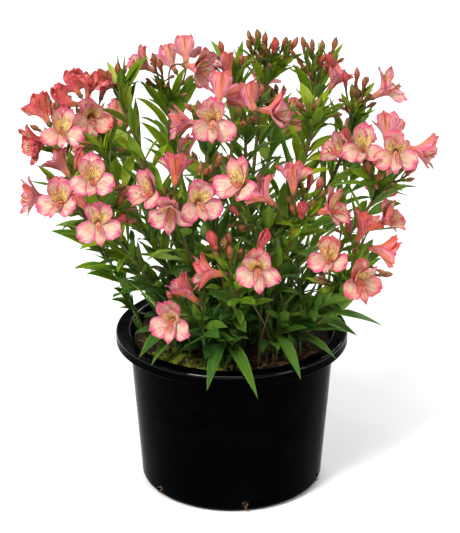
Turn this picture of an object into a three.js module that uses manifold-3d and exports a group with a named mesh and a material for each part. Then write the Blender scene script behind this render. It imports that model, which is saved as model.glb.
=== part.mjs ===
// Potted Peruvian lily (Alstroemeria): a black nursery pot filled with soil, from which leafy stems
// rise to umbels of pink blooms and buds. Millimetres, +Z up, the origin at the centre of the pot's
// flat underside, and the side that faces the viewer towards -Y.
import * as THREE from 'three';
import { mergeVertices } from 'three/addons/utils/BufferGeometryUtils.js';
import Module from 'manifold-3d';

const wasm = await Module();
wasm.setup();

// Pot
const RIM_RADIUS = 120;
const POT_HEIGHT = 167;
const LIP_DROP = 11.5;
const LIP_SHEET = 2.4;
const WALL_TOP_RADIUS = 106;
const BASE_RADIUS = 95;
const CORNER_RADIUS = 8;
const RIM_ROUND = 1.5;
const WALL = 2.2;
const FLOOR = 3;
const ROUNDS = 24;
const DRAIN_HOLES = 6;
const DRAIN_RADIUS = 4.5;
const DRAIN_HEIGHT = 9;
const DRAIN_TURN = 8.8;
const DRAIN_SLOPE = 0.25;
const DRAIN_CUT = 9;

// Soil
const SOIL_TOP = 154;
const SOIL_RINGS = [84, 46];
const SWELL = { height: 2.2, x: 0.045, y: 0.05 };
const CLODS = { height: 1.3, x: 0.11, y: 0.09 };
const FIT = 0.4;
const ROOTED = 11;

// Plant
const GUARD = 0.5;
const JOINT_GAP = 0.3;
const STEM_RADIUS = 2.1;
const STEM_SIDES = 3;
const STEM_STEPS = 4;
const SHOOT_STEPS = 3;
const STEM_LEAN = 0.0026;
const STEM_LOWER_HANDLE = 0.36;
const STEM_UPPER_HANDLE = 0.34;
const RAY_RADIUS = 1.1;
const RAY_LOWER_HANDLE = 0.4;
const RAY_UPPER_HANDLE = 0.34;
const RAY_STATIONS = [1, 0];
const BUD_RAY_RADIUS = 1;
const BUD_PLUMPNESS = 0.23;
const ROOM_SHARE = 0.9;
const KNOB_LENGTH = 3.4;
const FOOT_SPREAD = 0.34;
const FOOT_LIMIT = 78;
const FOOT_SPACING = 10;
const LEAF_THICKNESS = 1.2;
const LEAF_STATIONS = [0.36, 0.72];
const LARGE_LEAF_STATIONS = [0.16, 0.42, 0.74];
const LEAF_CHANNEL = 0.18;
const LEAF_ARCH = 0.22;
const PETIOLE = 0.3;
const GOLDEN_TURN = 2.39996;
const UP = new THREE.Vector3(0, 0, 1);

// Bloom, measured from the base of its ovary along its axis to the mouth. A tepal's start and end
// are its lean from the axis in degrees, closed and what opening adds.
const BLOOM = {
  middle: 17, ovaryAt: 5, ovary: 3, throatAt: 12.6, throat: 4.8, throatWall: 1, throatLip: 0.7, funnelAt: 8,
  outer: { length: 22, half: 7.6, start: [14, 22], end: [24, 68] },
  inner: { length: 21.5, half: 4.1, start: [10, 18], end: [16, 50] },
  thickness: 0.9, cup: 0.12, waist: 0.55, notch: 0.91, apexHalf: 0.56, notchedFrom: 0.65, shutHalf: 0.76,
};

// The viewer: picture coordinates u (right) and v (down) become millimetres at a given depth y
const VIEW = { elevation: 22.6, distance: 2100, focal: 2050, x: -1.8, z: 234.5, u: 230, v: 266.5 };
const VIEW_SIN = Math.sin(THREE.MathUtils.degToRad(VIEW.elevation));
const VIEW_COS = Math.cos(THREE.MathUtils.degToRad(VIEW.elevation));
const TOWARD_VIEWER = new THREE.Vector3(0, -VIEW_COS, VIEW_SIN);
const VIEW_UP = new THREE.Vector3(0, VIEW_SIN, VIEW_COS);
const VIEW_RIGHT = new THREE.Vector3(1, 0, 0);

// Flowering stems. tip: u, v, y of the umbel's joint. Blooms: u, v, millimetres nearer than the
// joint, turn of the mouth in the picture (0 right, 90 up), degrees that it faces the viewer, how
// far it is open, and its size. Buds: u, v, nearer, length. Leaves: place on the stem, u, v and y
// of the tip, width.
const HEADS = [
  { tip: [60, 152, 10],
    blooms: [[43, 113, -14, 120, -20, 0.6, 1], [39, 143, 8, 200, 20, 0.6, 1],
      [62, 131, 30, 60, 75, 0.95, 1]],
    buds: [[50, 103, 14, 12], [57, 110, 4, 14]], leaves: [] },
  { tip: [97, 138, 40],
    blooms: [[67, 103, 0, 170, -30, 0.7, 0.95], [75, 88, -22, 125, -35, 0.7, 0.9],
      [89, 88, 14, 80, 10, 0.6, 0.9], [104, 87, -18, 75, -10, 0.6, 0.85], [91, 117, 42, 300, 70, 0.9, 1]],
    buds: [[72, 114, 18, 12]], leaves: [] },
  { tip: [120, 94, 55], blooms: [],
    buds: [[105, 77, 0, 14], [119, 71, 6, 13], [131, 70, -6, 14]],
    leaves: [[0.99, 150, 57, 45, 12], [0.98, 106, 61, 75, 9]] },
  { tip: [101, 149, -15], blooms: [],
    buds: [[94, 139, 2, 13], [106, 139, -6, 13]],
    leaves: [[0.98, 124, 132, -20, 9], [0.97, 84, 160, -25, 8]] },
  { tip: [66, 187, -35],
    blooms: [[62, 166, -6, 125, 0, 0.35, 0.95], [36, 197, 0, 175, 15, 0.6, 1],
      [60, 201, 34, 160, 72, 1, 1]],
    buds: [[78, 160, 10, 26], [51, 180, 16, 12], [124, 190, 10, 13]], leaves: [] },
  { tip: [106, 214, -68],
    blooms: [[92, 179, 34, 80, 75, 1, 1], [98, 223, 38, 280, 78, 1, 1]],
    buds: [[82, 203, 14, 28], [85, 166, -6, 12], [120, 201, 8, 14], [120, 219, 14, 18]],
    leaves: [[0.62, 60, 233, -75, 11], [0.45, 73, 269, -70, 10], [0.4, 111, 298, -85, 10]] },
  { tip: [170, 110, 75],
    blooms: [[144, 65, 0, 150, 20, 0.6, 0.9], [170, 62, -14, 120, -20, 0.5, 0.9],
      [186, 54, 22, 90, -25, 0.6, 0.9], [197, 68, 50, 345, 25, 0.8, 1]],
    buds: [[154, 61, 14, 12], [161, 66, 28, 14]], leaves: [[0.97, 146, 98, 60, 10]] },
  { tip: [235, 88, 60], blooms: [[227, 68, 12, 110, 0, 0.4, 0.85]],
    buds: [[209, 56, 2, 15], [221, 48, 12, 15], [241, 60, -10, 12]],
    leaves: [[0.99, 210, 40, 55, 9], [0.98, 243, 40, 70, 8]] },
  { tip: [208, 148, -30],
    blooms: [[220, 93, -12, 80, -30, 0.6, 1], [213, 121, 36, 260, 75, 1, 1.05],
      [186, 123, 6, 180, 10, 0.6, 1]],
    buds: [[199, 108, 4, 13]], leaves: [] },
  { tip: [246, 136, 0],
    blooms: [[250, 103, 0, 120, -25, 0.7, 1], [273, 110, 16, 0, 20, 0.7, 1]],
    buds: [[240, 112, 24, 13], [262, 92, -14, 14]], leaves: [] },
  { tip: [266, 79, 95], blooms: [],
    buds: [[249, 46, 6, 14], [258, 38, 0, 13], [266, 41, 16, 14], [274, 46, 22, 17], [284, 43, 4, 13],
      [293, 46, -6, 13]], leaves: [[0.97, 240, 62, 90, 9], [0.98, 296, 66, 95, 8]] },
  { tip: [314, 98, 75], blooms: [[335, 80, 14, 60, 15, 0.5, 0.95]],
    buds: [[303, 44, -6, 13], [312, 46, 10, 13], [321, 48, -8, 14], [334, 46, 4, 14], [328, 60, 22, 18]],
    leaves: [] },
  { tip: [314, 123, 10], blooms: [],
    buds: [[309, 112, 4, 13], [321, 111, -4, 12]],
    leaves: [[0.985, 300, 82, 5, 13], [0.99, 353, 103, 0, 12], [0.97, 330, 88, 30, 9]] },
  { tip: [352, 130, 45], blooms: [[385, 90, 20, 30, 20, 0.8, 1.05]],
    buds: [[356, 76, -6, 15], [364, 84, 6, 13], [345, 79, 14, 16], [352, 92, 24, 12]], leaves: [] },
  { tip: [378, 189, -10],
    blooms: [[340, 152, -4, 150, 30, 0.6, 0.95], [363, 148, 30, 100, 72, 0.9, 1],
      [387, 132, -20, 85, -20, 0.5, 1], [396, 152, 34, 280, 75, 1, 1], [420, 150, 0, 350, 15, 0.6, 1]],
    buds: [[348, 136, 14, 17], [368, 168, 24, 14], [411, 170, 16, 15]],
    leaves: [[0.99, 329, 187, -25, 9], [0.98, 406, 186, -15, 8]] },
  { tip: [181, 212, -70],
    blooms: [[150, 192, 20, 160, 45, 0.8, 1], [176, 172, -4, 85, -5, 0.5, 1],
      [171, 211, 36, 255, 40, 0.8, 1], [199, 202, 34, 340, 70, 0.95, 1]],
    buds: [[209, 171, 4, 13], [218, 161, -4, 14], [217, 190, 12, 14]], leaves: [] },
  { tip: [266, 230, -66],
    blooms: [[239, 183, 40, 130, 60, 0.9, 1.05], [264, 196, 20, 140, 15, 0.6, 1]],
    buds: [[235, 211, 14, 16]], leaves: [] },
  { tip: [296, 228, -60],
    blooms: [[293, 180, 4, 92, 5, 0.45, 1], [330, 209, 24, 20, 35, 0.8, 1]],
    buds: [[302, 211, 28, 26], [309, 183, -8, 15], [319, 185, 6, 15], [280, 222, 10, 14]], leaves: [] },
  { tip: [356, 262, -45],
    blooms: [[363, 229, 12, 65, 10, 0.45, 1], [386, 220, -8, 30, 30, 0.6, 0.95],
      [381, 250, 10, 350, 5, 0.4, 1]],
    buds: [[349, 227, 4, 15], [384, 275, 14, 13]], leaves: [] },
  { tip: [345, 285, -75],
    blooms: [[330, 259, 24, 120, 65, 0.9, 1], [359, 280, 32, 330, 60, 0.95, 1]],
    buds: [[322, 281, 10, 14]], leaves: [[0.55, 383, 326, -80, 10]] },
  { tip: [238, 284, -98],
    blooms: [[210, 273, 10, 175, 10, 0.6, 1], [258, 269, 28, 275, 70, 0.95, 1]],
    buds: [[262, 242, 6, 28], [213, 242, 4, 20], [229, 240, -6, 14]], leaves: [] },
  { tip: [200, 322, -75],
    blooms: [[187, 292, 14, 135, 10, 0.4, 1], [172, 320, 30, 200, 65, 0.95, 1]],
    buds: [[171, 297, -4, 12]], leaves: [] },
];

// Flowering stems on the far side: the umbel's joint in millimetres and the number of blooms
const FAR_HEADS = [
  { at: [-118, 112, 318], blooms: 3 },
  { at: [-22, 142, 268], blooms: 2 },
  { at: [48, 118, 352], blooms: 3 },
  { at: [128, 106, 296], blooms: 3 },
];
const FAR_REACH = 47;
const FAR_LEAN = 0.85;
const FAR_LIFT = 60;
const FAR_TURN = 35;
const FAR_BUD = { reach: 24, length: 14, turn: 70, apart: 130, lean: 30 };

// Leafy shoots without blooms: tip as u, v, y and the leaves that hang over the rim
const SHOOTS = [
  { tip: [160, 318, -62],
    leaves: [[0.72, 139, 358, -96, 12], [0.86, 128, 282, -70, 10], [0.6, 151, 366, -92, 9]] },
  { tip: [226, 335, -66], leaves: [[0.8, 207, 391, -122, 13], [0.62, 258, 399, -124, 12]] },
  { tip: [282, 326, -58], leaves: [[0.8, 301, 380, -112, 12], [0.55, 262, 352, -98, 10]] },
  { tip: [322, 318, -40], leaves: [[0.7, 348, 333, -66, 11], [0.5, 336, 359, -84, 11]] },
  { tip: [140, 158, 0], leaves: [[0.99, 124, 150, -6, 10], [0.97, 160, 138, 4, 10]] },
  { tip: [205, 250, 62], leaves: [] },
];

// Drawn leaves: how many, and the ranges of their degrees, millimetres and shares of a length
const STEM_LEAVES = 4;
const SHOOT_LEAVES = 4;
const BRACTS = 2;
const LEAF_RANGE = { spread: [38, 70], length: [46, 72], width: [9, 13] };
const BRACT_RANGE = { spread: [48, 72], length: [30, 44], width: [6.5, 8.5] };
const DROOP_RANGE = [0.02, 0.34];
const ROLL_RANGE = [-30, 30];
const LOWEST_LEAF = { stem: 0.3, shoot: 0.35 };
const HIGHEST_LEAF = 0.93;
const BRACT_PLACE = 0.985;

// Tries, in the order in which they are made: millimetres nearer, degrees of turn, bends of a stem
const NEARER_TRIES = [0, 6, -6, 12, -12, 18, -18, 26, -26, 34, -34, 44, -44];
const TURN_TRIES = [0, 25, -25, 50, -50, 80, -80, 120, -120, 160];
const BEND_TRIES = 81;
const BEND_STEP = 9;
const BEND_DIRECTIONS = 8;
const BEND_LOWER_SHARES = [0.5, -0.6];

// A repeatable stream of numbers from 0 to 1
function drawsFrom(seed) {
  let state = seed >>> 0;
  return () => {
    state = (state + 0x6d2b79f5) >>> 0;
    let t = Math.imul(state ^ (state >>> 15), state | 1);
    t ^= t + Math.imul(t ^ (t >>> 7), t | 61);
    return ((t ^ (t >>> 14)) >>> 0) / 4294967296;
  };
}

function fromPicture(u, v, y) {
  const rise = (VIEW.v - v) / VIEW.focal;
  const q = (rise * (VIEW.distance + y * VIEW_COS) - y * VIEW_SIN) / (VIEW_COS + rise * VIEW_SIN);
  const depth = VIEW.distance + y * VIEW_COS - q * VIEW_SIN;
  return new THREE.Vector3(VIEW.x + (u - VIEW.u) / VIEW.focal * depth, y, VIEW.z + q);
}

function along(start, direction, distance) {
  return start.clone().addScaledVector(direction, distance);
}

// Solids

function solidOf(points, faces) {
  const vertProperties = new Float32Array(points.length * 3);
  points.forEach((p, i) => vertProperties.set([p.x, p.y, p.z], i * 3));
  const triVerts = new Uint32Array(faces.flat());
  return new wasm.Manifold(new wasm.Mesh({ numProp: 3, vertProperties, triVerts }));
}

function solidOfGeometry(source) {
  const plain = source.clone();
  plain.deleteAttribute('normal');
  plain.deleteAttribute('uv');
  const merged = mergeVertices(plain, 1e-4);
  const vertProperties = new Float32Array(merged.attributes.position.array);
  const triVerts = new Uint32Array(merged.index.array);
  return new wasm.Manifold(new wasm.Mesh({ numProp: 3, vertProperties, triVerts }));
}

function geometryOf(solid) {
  const mesh = solid.getMesh();
  const geometry = new THREE.BufferGeometry();
  geometry.setAttribute('position', new THREE.BufferAttribute(new Float32Array(mesh.vertProperties), 3));
  geometry.setIndex(new THREE.BufferAttribute(new Uint32Array(mesh.triVerts), 1));
  geometry.computeVertexNormals();
  return geometry;
}

// A closed skin over rings of points, from a first point to a last one
function loft(first, rings, last) {
  const sides = rings[0].length;
  const points = [first, ...rings.flat(), last];
  const at = (ring, side) => 1 + ring * sides + side % sides;
  const faces = [];
  for (let j = 0; j < sides; j += 1) {
    faces.push([0, at(0, j + 1), at(0, j)]);
    for (let i = 0; i + 1 < rings.length; i += 1) {
      faces.push([at(i, j), at(i, j + 1), at(i + 1, j + 1)]);
      faces.push([at(i, j), at(i + 1, j + 1), at(i + 1, j)]);
    }
    faces.push([at(rings.length - 1, j), at(rings.length - 1, j + 1), points.length - 1]);
  }
  return solidOf(points, faces);
}

function tube(curve, radius, sides, steps) {
  const section = new THREE.Shape();
  for (let i = 0; i < sides; i += 1) {
    const angle = 2 * Math.PI * i / sides;
    section[i ? 'lineTo' : 'moveTo'](radius * Math.cos(angle), radius * Math.sin(angle));
  }
  section.closePath();
  const options = { steps, extrudePath: curve, bevelEnabled: false };
  return solidOfGeometry(new THREE.ExtrudeGeometry(section, options));
}

// Pot

function potOutline() {
  const corner = [];
  for (let i = 0; i <= 2; i += 1) {
    const angle = Math.PI / 4 * i;
    corner.push([BASE_RADIUS - CORNER_RADIUS * (1 - Math.sin(angle)), CORNER_RADIUS * (1 - Math.cos(angle))]);
  }
  const skirt = POT_HEIGHT - LIP_DROP;
  const underLip = POT_HEIGHT - LIP_SHEET;
  return [
    [0, 0], ...corner,
    [WALL_TOP_RADIUS, skirt], [WALL_TOP_RADIUS, underLip],
    [RIM_RADIUS - LIP_SHEET, underLip], [RIM_RADIUS - LIP_SHEET, skirt],
    [RIM_RADIUS, skirt], [RIM_RADIUS, POT_HEIGHT - RIM_ROUND], [RIM_RADIUS - RIM_ROUND, POT_HEIGHT],
    [WALL_TOP_RADIUS, POT_HEIGHT], [WALL_TOP_RADIUS - WALL, underLip - WALL],
    [BASE_RADIUS - WALL, CORNER_RADIUS], [BASE_RADIUS - CORNER_RADIUS, FLOOR], [0, FLOOR],
  ].map(([r, z]) => new THREE.Vector2(r, z));
}

function makePot() {
  let pot = solidOfGeometry(new THREE.LatheGeometry(potOutline(), ROUNDS).rotateX(Math.PI / 2));
  for (let i = 0; i < DRAIN_HOLES; i += 1) {
    const turn = THREE.MathUtils.degToRad(DRAIN_TURN - 90 + 360 / DRAIN_HOLES * i);
    const outward = new THREE.Vector3(Math.cos(turn), Math.sin(turn), -DRAIN_SLOPE).normalize();
    const wall = new THREE.Vector3(Math.cos(turn), Math.sin(turn), 0).multiplyScalar(BASE_RADIUS);
    const centre = along(wall, UP, DRAIN_HEIGHT);
    const line = new THREE.LineCurve3(along(centre, outward, -DRAIN_CUT), along(centre, outward, DRAIN_CUT));
    pot = pot.subtract(tube(line, DRAIN_RADIUS, 6, 1));
  }
  return pot;
}

// Soil

function soilHeight(x, y) {
  const swell = SWELL.height * Math.sin(x * SWELL.x + 1) * Math.cos(y * SWELL.y);
  return SOIL_TOP + swell + CLODS.height * Math.sin(x * CLODS.x + y * CLODS.y);
}

function makeSoil() {
  const wallRise = POT_HEIGHT - LIP_SHEET - WALL - CORNER_RADIUS;
  const inside = (z) => BASE_RADIUS - WALL - FIT
    + (WALL_TOP_RADIUS - BASE_RADIUS) * (z - CORNER_RADIUS) / wallRise;
  const edge = SOIL_TOP - 5;
  const outline = [
    [0, FLOOR + FIT], [BASE_RADIUS - CORNER_RADIUS - 1, FLOOR + FIT],
    [inside(CORNER_RADIUS) - FIT, CORNER_RADIUS + 1], [inside(edge), edge],
    ...SOIL_RINGS.map((radius) => [radius, SOIL_TOP]), [0, SOIL_TOP],
  ].map(([r, z]) => new THREE.Vector2(r, z));
  const geometry = new THREE.LatheGeometry(outline, ROUNDS).rotateX(Math.PI / 2);
  const spots = geometry.attributes.position;
  for (let i = 0; i < spots.count; i += 1) {
    if (spots.getZ(i) > SOIL_TOP - 1) spots.setZ(i, soilHeight(spots.getX(i), spots.getY(i)));
  }
  return solidOfGeometry(geometry);
}

// Leaves: a blade along a bent line from root by way of bend to tip

// Half the width of a blade at t along it, as a share of the widest
function leafShare(t) {
  const petiole = Math.min(1, t / PETIOLE);
  return Math.sin(Math.PI * t ** 0.75) ** 1.15 * (0.25 + 0.75 * petiole * petiole * (3 - 2 * petiole));
}

function makeLeaf(leaf, guard) {
  const line = new THREE.QuadraticBezierCurve3(leaf.root, leaf.bend, leaf.tip);
  const rings = leaf.stations.map((t) => {
    const centre = line.getPoint(t);
    const forward = line.getTangent(t);
    const upper = leaf.upper.clone().addScaledVector(forward, -leaf.upper.dot(forward)).normalize();
    const left = new THREE.Vector3().crossVectors(upper, forward);
    const half = leaf.width / 2 * leafShare(t) + guard;
    const edge = along(centre, upper, LEAF_CHANNEL * half + guard);
    const rib = along(centre, upper, -LEAF_THICKNESS - guard);
    return [along(edge, left, half), along(edge, left, -half), rib];
  });
  return loft(leaf.root, rings, along(leaf.tip, line.getTangent(1), guard));
}

// A point on the straight stretches of a stem, and their direction there
function stemPlace(joints, place) {
  const stretch = Math.min(joints.length - 2, Math.floor(place * (joints.length - 1)));
  const from = joints[stretch];
  const to = joints[stretch + 1];
  const point = from.clone().lerp(to, place * (joints.length - 1) - stretch);
  return { point, stemward: to.clone().sub(from).normalize() };
}

function turned(vector, axis, degrees) {
  return vector.clone().applyAxisAngle(axis, THREE.MathUtils.degToRad(degrees));
}

// A leaf that springs from a stem at a place along it, with its draws made beforehand
function springingLeaf(joints, spring, turn) {
  const { point: root, stemward } = stemPlace(joints, spring.place);
  const side = new THREE.Vector3().crossVectors(stemward, VIEW_RIGHT).normalize();
  const outward = side.applyAxisAngle(stemward, spring.angle + THREE.MathUtils.degToRad(turn));
  const spread = THREE.MathUtils.degToRad(spring.spread);
  const way = stemward.clone().multiplyScalar(Math.cos(spread)).addScaledVector(outward, Math.sin(spread));
  const bend = along(root, way, spring.length * 0.5);
  const tip = along(along(root, way, spring.length * 0.86), UP, -spring.droop * spring.length);
  const upper = turned(stemward, way, spring.roll);
  return { root, bend, tip, upper, width: spring.width, stations: LEAF_STATIONS };
}

// A leaf whose tip has a known place in the picture
function aimedLeaf(joints, [place, u, v, y, width], nearer) {
  const { point: root, stemward } = stemPlace(joints, place);
  const tip = fromPicture(u, v, y - nearer);
  const bend = root.clone().lerp(tip, 0.45);
  bend.z += LEAF_ARCH * root.distanceTo(tip);
  const upper = UP.clone().addScaledVector(stemward, 0.5);
  return { root, bend, tip, upper, width, stations: LARGE_LEAF_STATIONS };
}

// Blooms and buds

function arcPlace(kind, open, t) {
  const start = THREE.MathUtils.degToRad(kind.start[0] + kind.start[1] * open);
  const end = THREE.MathUtils.degToRad(kind.end[0] + kind.end[1] * open);
  const bend = (end - start) / kind.length;
  const angle = start + (end - start) * t;
  return {
    out: BLOOM.throat - 0.5 + (Math.cos(start) - Math.cos(angle)) / bend,
    on: BLOOM.throatAt + (Math.sin(angle) - Math.sin(start)) / bend,
    angle,
  };
}

function bloomFrame(bloom) {
  const axis = bloom.axis;
  const reference = Math.abs(axis.z) > 0.96 ? new THREE.Vector3(0, 1, 0) : UP;
  const up = reference.clone().addScaledVector(axis, -reference.dot(axis)).normalize();
  const right = new THREE.Vector3().crossVectors(up, axis);
  const place = (out, turn, on, side) => {
    const x = out * Math.cos(turn) - side * Math.sin(turn);
    const y = out * Math.sin(turn) + side * Math.cos(turn);
    const point = bloom.base.clone().addScaledVector(right, x * bloom.size);
    return point.addScaledVector(up, y * bloom.size).addScaledVector(axis, on * bloom.size);
  };
  return { up, place };
}

// A bloom is one skin: six tepals round a funnel, a swelling ovary and the ray down to the joint
function makeBloom(bloom, joint, way, guard) {
  const { up, place } = bloomFrame(bloom);
  const points = [place(0, 0, BLOOM.funnelAt, 0)];
  const faces = [];
  const add = (...made) => {
    points.push(...made);
    return made.map((_, i) => points.length - made.length + i);
  };
  const wall = [];
  for (let i = 0; i < 6; i += 1) {
    const turn = Math.PI / 3 * (i + 1);
    wall.push(add(place(BLOOM.throat + guard, turn, BLOOM.throatAt, 0),
      place(BLOOM.throat - BLOOM.throatWall, turn, BLOOM.throatAt + BLOOM.throatLip, 0)));
  }
  const thirds = [0, 1, 2].map((i) => Math.PI / 2 + i * 2 * Math.PI / 3);
  let upper = add(...thirds.map((turn) => place(BLOOM.ovary + guard, turn, BLOOM.ovaryAt, 0)));
  for (let i = 0; i < 6; i += 1) {
    const turn = Math.PI / 3 * i + Math.PI / 2;
    const isOuter = i % 2 === 0;
    const kind = isOuter ? BLOOM.outer : BLOOM.inner;
    const [outerRight, innerRight] = wall[i];
    const [outerLeft, innerLeft] = wall[(i + 1) % 6];
    const half = guard + kind.half * (isOuter ? BLOOM.shutHalf + (1 - BLOOM.shutHalf) * bloom.open : 1);
    const waist = arcPlace(kind, bloom.open, BLOOM.waist);
    const lift = BLOOM.cup * half + guard;
    const edgeOut = waist.out - lift * Math.cos(waist.angle);
    const edgeOn = waist.on + lift * Math.sin(waist.angle);
    const deep = BLOOM.thickness + guard;
    const [left, right, under] = add(place(edgeOut, turn, edgeOn, half), place(edgeOut, turn, edgeOn, -half),
      place(waist.out + deep * Math.cos(waist.angle), turn, waist.on - deep * Math.sin(waist.angle), 0));
    faces.push([innerLeft, innerRight, right], [innerLeft, right, left]);
    faces.push([outerRight, outerLeft, under], [outerLeft, left, under], [outerRight, under, right]);
    faces.push([innerLeft, left, outerLeft], [innerRight, outerRight, right]);
    const end = arcPlace(kind, bloom.open, 1);
    if (isOuter && bloom.open > BLOOM.notchedFrom) {
      const dip = arcPlace(kind, bloom.open, BLOOM.notch);
      const [tipLeft, notch, tipRight] = add(place(end.out + guard, turn, end.on, half * BLOOM.apexHalf),
        place(dip.out, turn, dip.on, 0), place(end.out + guard, turn, end.on, -half * BLOOM.apexHalf));
      faces.push([left, right, notch], [left, notch, tipLeft], [right, tipRight, notch]);
      faces.push([left, tipLeft, under], [tipLeft, notch, under]);
      faces.push([notch, tipRight, under], [tipRight, right, under]);
    } else {
      const [tip] = add(place(end.out + guard, turn, end.on, 0));
      faces.push([left, right, tip], [right, under, tip], [under, left, tip]);
    }
    faces.push([innerRight, innerLeft, 0]);
    const [near, next] = [upper[i >> 1], upper[((i >> 1) + 1) % 3]];
    faces.push([outerLeft, outerRight, near]);
    if (!isOuter) faces.push([outerLeft, near, next]);
  }
  const ray = rayCurve(joint, way, bloom.base, bloom.axis);
  for (const t of RAY_STATIONS) {
    const centre = ray.getPoint(t);
    const forward = ray.getTangent(t);
    up.addScaledVector(forward, -up.dot(forward)).normalize();
    const around = [0, 120, 240].map((angle) => turned(up, forward, angle));
    const lower = add(...around.map((side) => along(centre, side, RAY_RADIUS + guard)));
    for (let i = 0; i < 3; i += 1) {
      const k = (i + 1) % 3;
      faces.push([upper[k], upper[i], lower[i]], [upper[k], lower[i], lower[k]]);
    }
    upper = lower;
  }
  faces.push([upper[2], upper[1], upper[0]]);
  return solidOf(points, faces);
}

function sideOf(axis) {
  return new THREE.Vector3().crossVectors(axis, Math.abs(axis.z) > 0.9 ? VIEW_RIGHT : UP).normalize();
}

function ringAround(centre, axis, radius, sides, firstSide = sideOf(axis)) {
  const side = firstSide.clone().addScaledVector(axis, -firstSide.dot(axis)).normalize();
  const ring = [];
  for (let i = 0; i < sides; i += 1) {
    ring.push(along(centre, side.clone().applyAxisAngle(axis, 2 * Math.PI * i / sides), radius));
  }
  return ring;
}

// The room that an open bloom or a bud takes up
function roomOf(thing) {
  const { base, axis, size } = thing;
  if (!size) {
    const ring = ringAround(along(base, axis, thing.length * 0.5), axis, thing.length * BUD_PLUMPNESS, 4);
    return loft(base, [ring], along(base, axis, thing.length));
  }
  const rim = arcPlace(BLOOM.outer, thing.open, 1);
  const mouth = along(base, axis, rim.on * size);
  const rings = [
    ringAround(along(base, axis, BLOOM.throatAt * size), axis, (BLOOM.throat + 1) * size, 6),
    ringAround(mouth, axis, rim.out * ROOM_SHARE * size, 6),
  ];
  return loft(base, rings, along(mouth, axis, 4));
}

// The rings of a bud and its ray start on one side, so that the ray isn't twisted
function makeBud(bud, joint, way, guard) {
  const { base, axis, length } = bud;
  const side = sideOf(axis);
  const start = along(joint, way, KNOB_LENGTH * 0.5);
  const toward = base.clone().sub(start).normalize();
  const thin = BUD_RAY_RADIUS + guard;
  const rings = [
    ringAround(start, toward, thin, 3, side), ringAround(base, axis, thin, 3, side),
    ringAround(along(base, axis, length * 0.5), axis, length * BUD_PLUMPNESS + guard, 3, side),
  ];
  return loft(along(start, toward, -0.6), rings, along(base, axis, length + guard));
}

// A ray leaves the joint along the stem and meets what it carries along that one's axis
function rayCurve(joint, way, base, axis) {
  const start = along(joint, way, KNOB_LENGTH * 0.5);
  const reach = start.distanceTo(base);
  const toward = base.clone().sub(start).normalize();
  const leaving = way.clone().multiplyScalar(0.25).addScaledVector(toward, 0.75);
  const first = along(start, leaving, reach * RAY_LOWER_HANDLE);
  const second = along(base, axis, -reach * RAY_UPPER_HANDLE);
  return new THREE.CubicBezierCurve3(start, first, second, base);
}

// Places of what the heads carry

function facing(turn, face) {
  const a = THREE.MathUtils.degToRad(turn);
  const b = THREE.MathUtils.degToRad(face);
  const flat = VIEW_RIGHT.clone().multiplyScalar(Math.cos(a)).addScaledVector(VIEW_UP, Math.sin(a));
  return flat.multiplyScalar(Math.cos(b)).addScaledVector(TOWARD_VIEWER, Math.sin(b)).normalize();
}

function stemWay(joint) {
  return new THREE.Vector3(joint.x, joint.y, 0).multiplyScalar(STEM_LEAN).add(UP).normalize();
}

function pictureBloom(head, [u, v, nearer, turn, face, open, size], shift) {
  const axis = facing(turn, face);
  const middle = fromPicture(u, v, head.tip[2] - nearer - shift);
  return { base: along(middle, axis, -BLOOM.middle * size), axis, open, size };
}

function pictureBud(head, joint, [u, v, nearer, length], shift) {
  const middle = fromPicture(u, v, head.tip[2] - nearer - shift);
  const axis = middle.clone().sub(joint).normalize().addScaledVector(UP, 0.5).normalize();
  return { base: along(middle, axis, -length / 2), axis, length };
}

function farBloom(joint, index, count, shift) {
  const outward = new THREE.Vector3(joint.x, joint.y, FAR_LIFT).normalize();
  const level = new THREE.Vector3(-outward.y, outward.x, 0).normalize();
  const side = turned(level, outward, 360 / count * index + FAR_TURN);
  const axis = outward.clone().addScaledVector(side, FAR_LEAN).normalize();
  const base = along(joint, axis, FAR_REACH - BLOOM.middle + shift * 0.4);
  return { base, axis, open: 0.95 - 0.25 * (index % 2), size: 1 };
}

function farBud(joint, index) {
  const lean = THREE.MathUtils.degToRad(FAR_BUD.lean);
  const level = turned(VIEW_RIGHT, UP, FAR_BUD.turn + FAR_BUD.apart * index);
  const axis = level.multiplyScalar(Math.sin(lean)).addScaledVector(UP, Math.cos(lean));
  return { base: along(joint, axis, FAR_BUD.reach), axis, length: FAR_BUD.length };
}

// Feet of the stems, drawn in towards the middle and kept apart
const feet = [];
function footFor(tip) {
  let x = tip.x * FOOT_SPREAD;
  let y = tip.y * FOOT_SPREAD + 4;
  for (let i = 0; feet.some((f) => Math.hypot(f.x - x, f.y - y) < FOOT_SPACING); i += 1) {
    const radius = 4 + 2.2 * i;
    x = tip.x * FOOT_SPREAD + radius * Math.cos(i * GOLDEN_TURN);
    y = tip.y * FOOT_SPREAD + 4 + radius * Math.sin(i * GOLDEN_TURN);
  }
  const far = Math.hypot(x, y) / FOOT_LIMIT;
  const foot = new THREE.Vector3(x, y, 0).divideScalar(Math.max(1, far));
  feet.push(foot);
  return new THREE.Vector3(foot.x, foot.y, soilHeight(foot.x, foot.y) - ROOTED);
}

function stemCurve(foot, end, way, attempt) {
  const rise = end.z - foot.z;
  const round = Math.floor(attempt / BEND_DIRECTIONS);
  const ring = Math.ceil(attempt / BEND_DIRECTIONS / BEND_LOWER_SHARES.length);
  const angle = 2 * Math.PI * attempt / BEND_DIRECTIONS;
  const off = new THREE.Vector3(Math.cos(angle), Math.sin(angle), 0).multiplyScalar(BEND_STEP * ring);
  const lowerShare = BEND_LOWER_SHARES[round % BEND_LOWER_SHARES.length];
  const first = along(foot, UP, STEM_LOWER_HANDLE * rise).addScaledVector(off, lowerShare);
  const second = along(end, way, -STEM_UPPER_HANDLE * rise).add(off);
  return new THREE.CubicBezierCurve3(foot, first, second, end);
}

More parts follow.
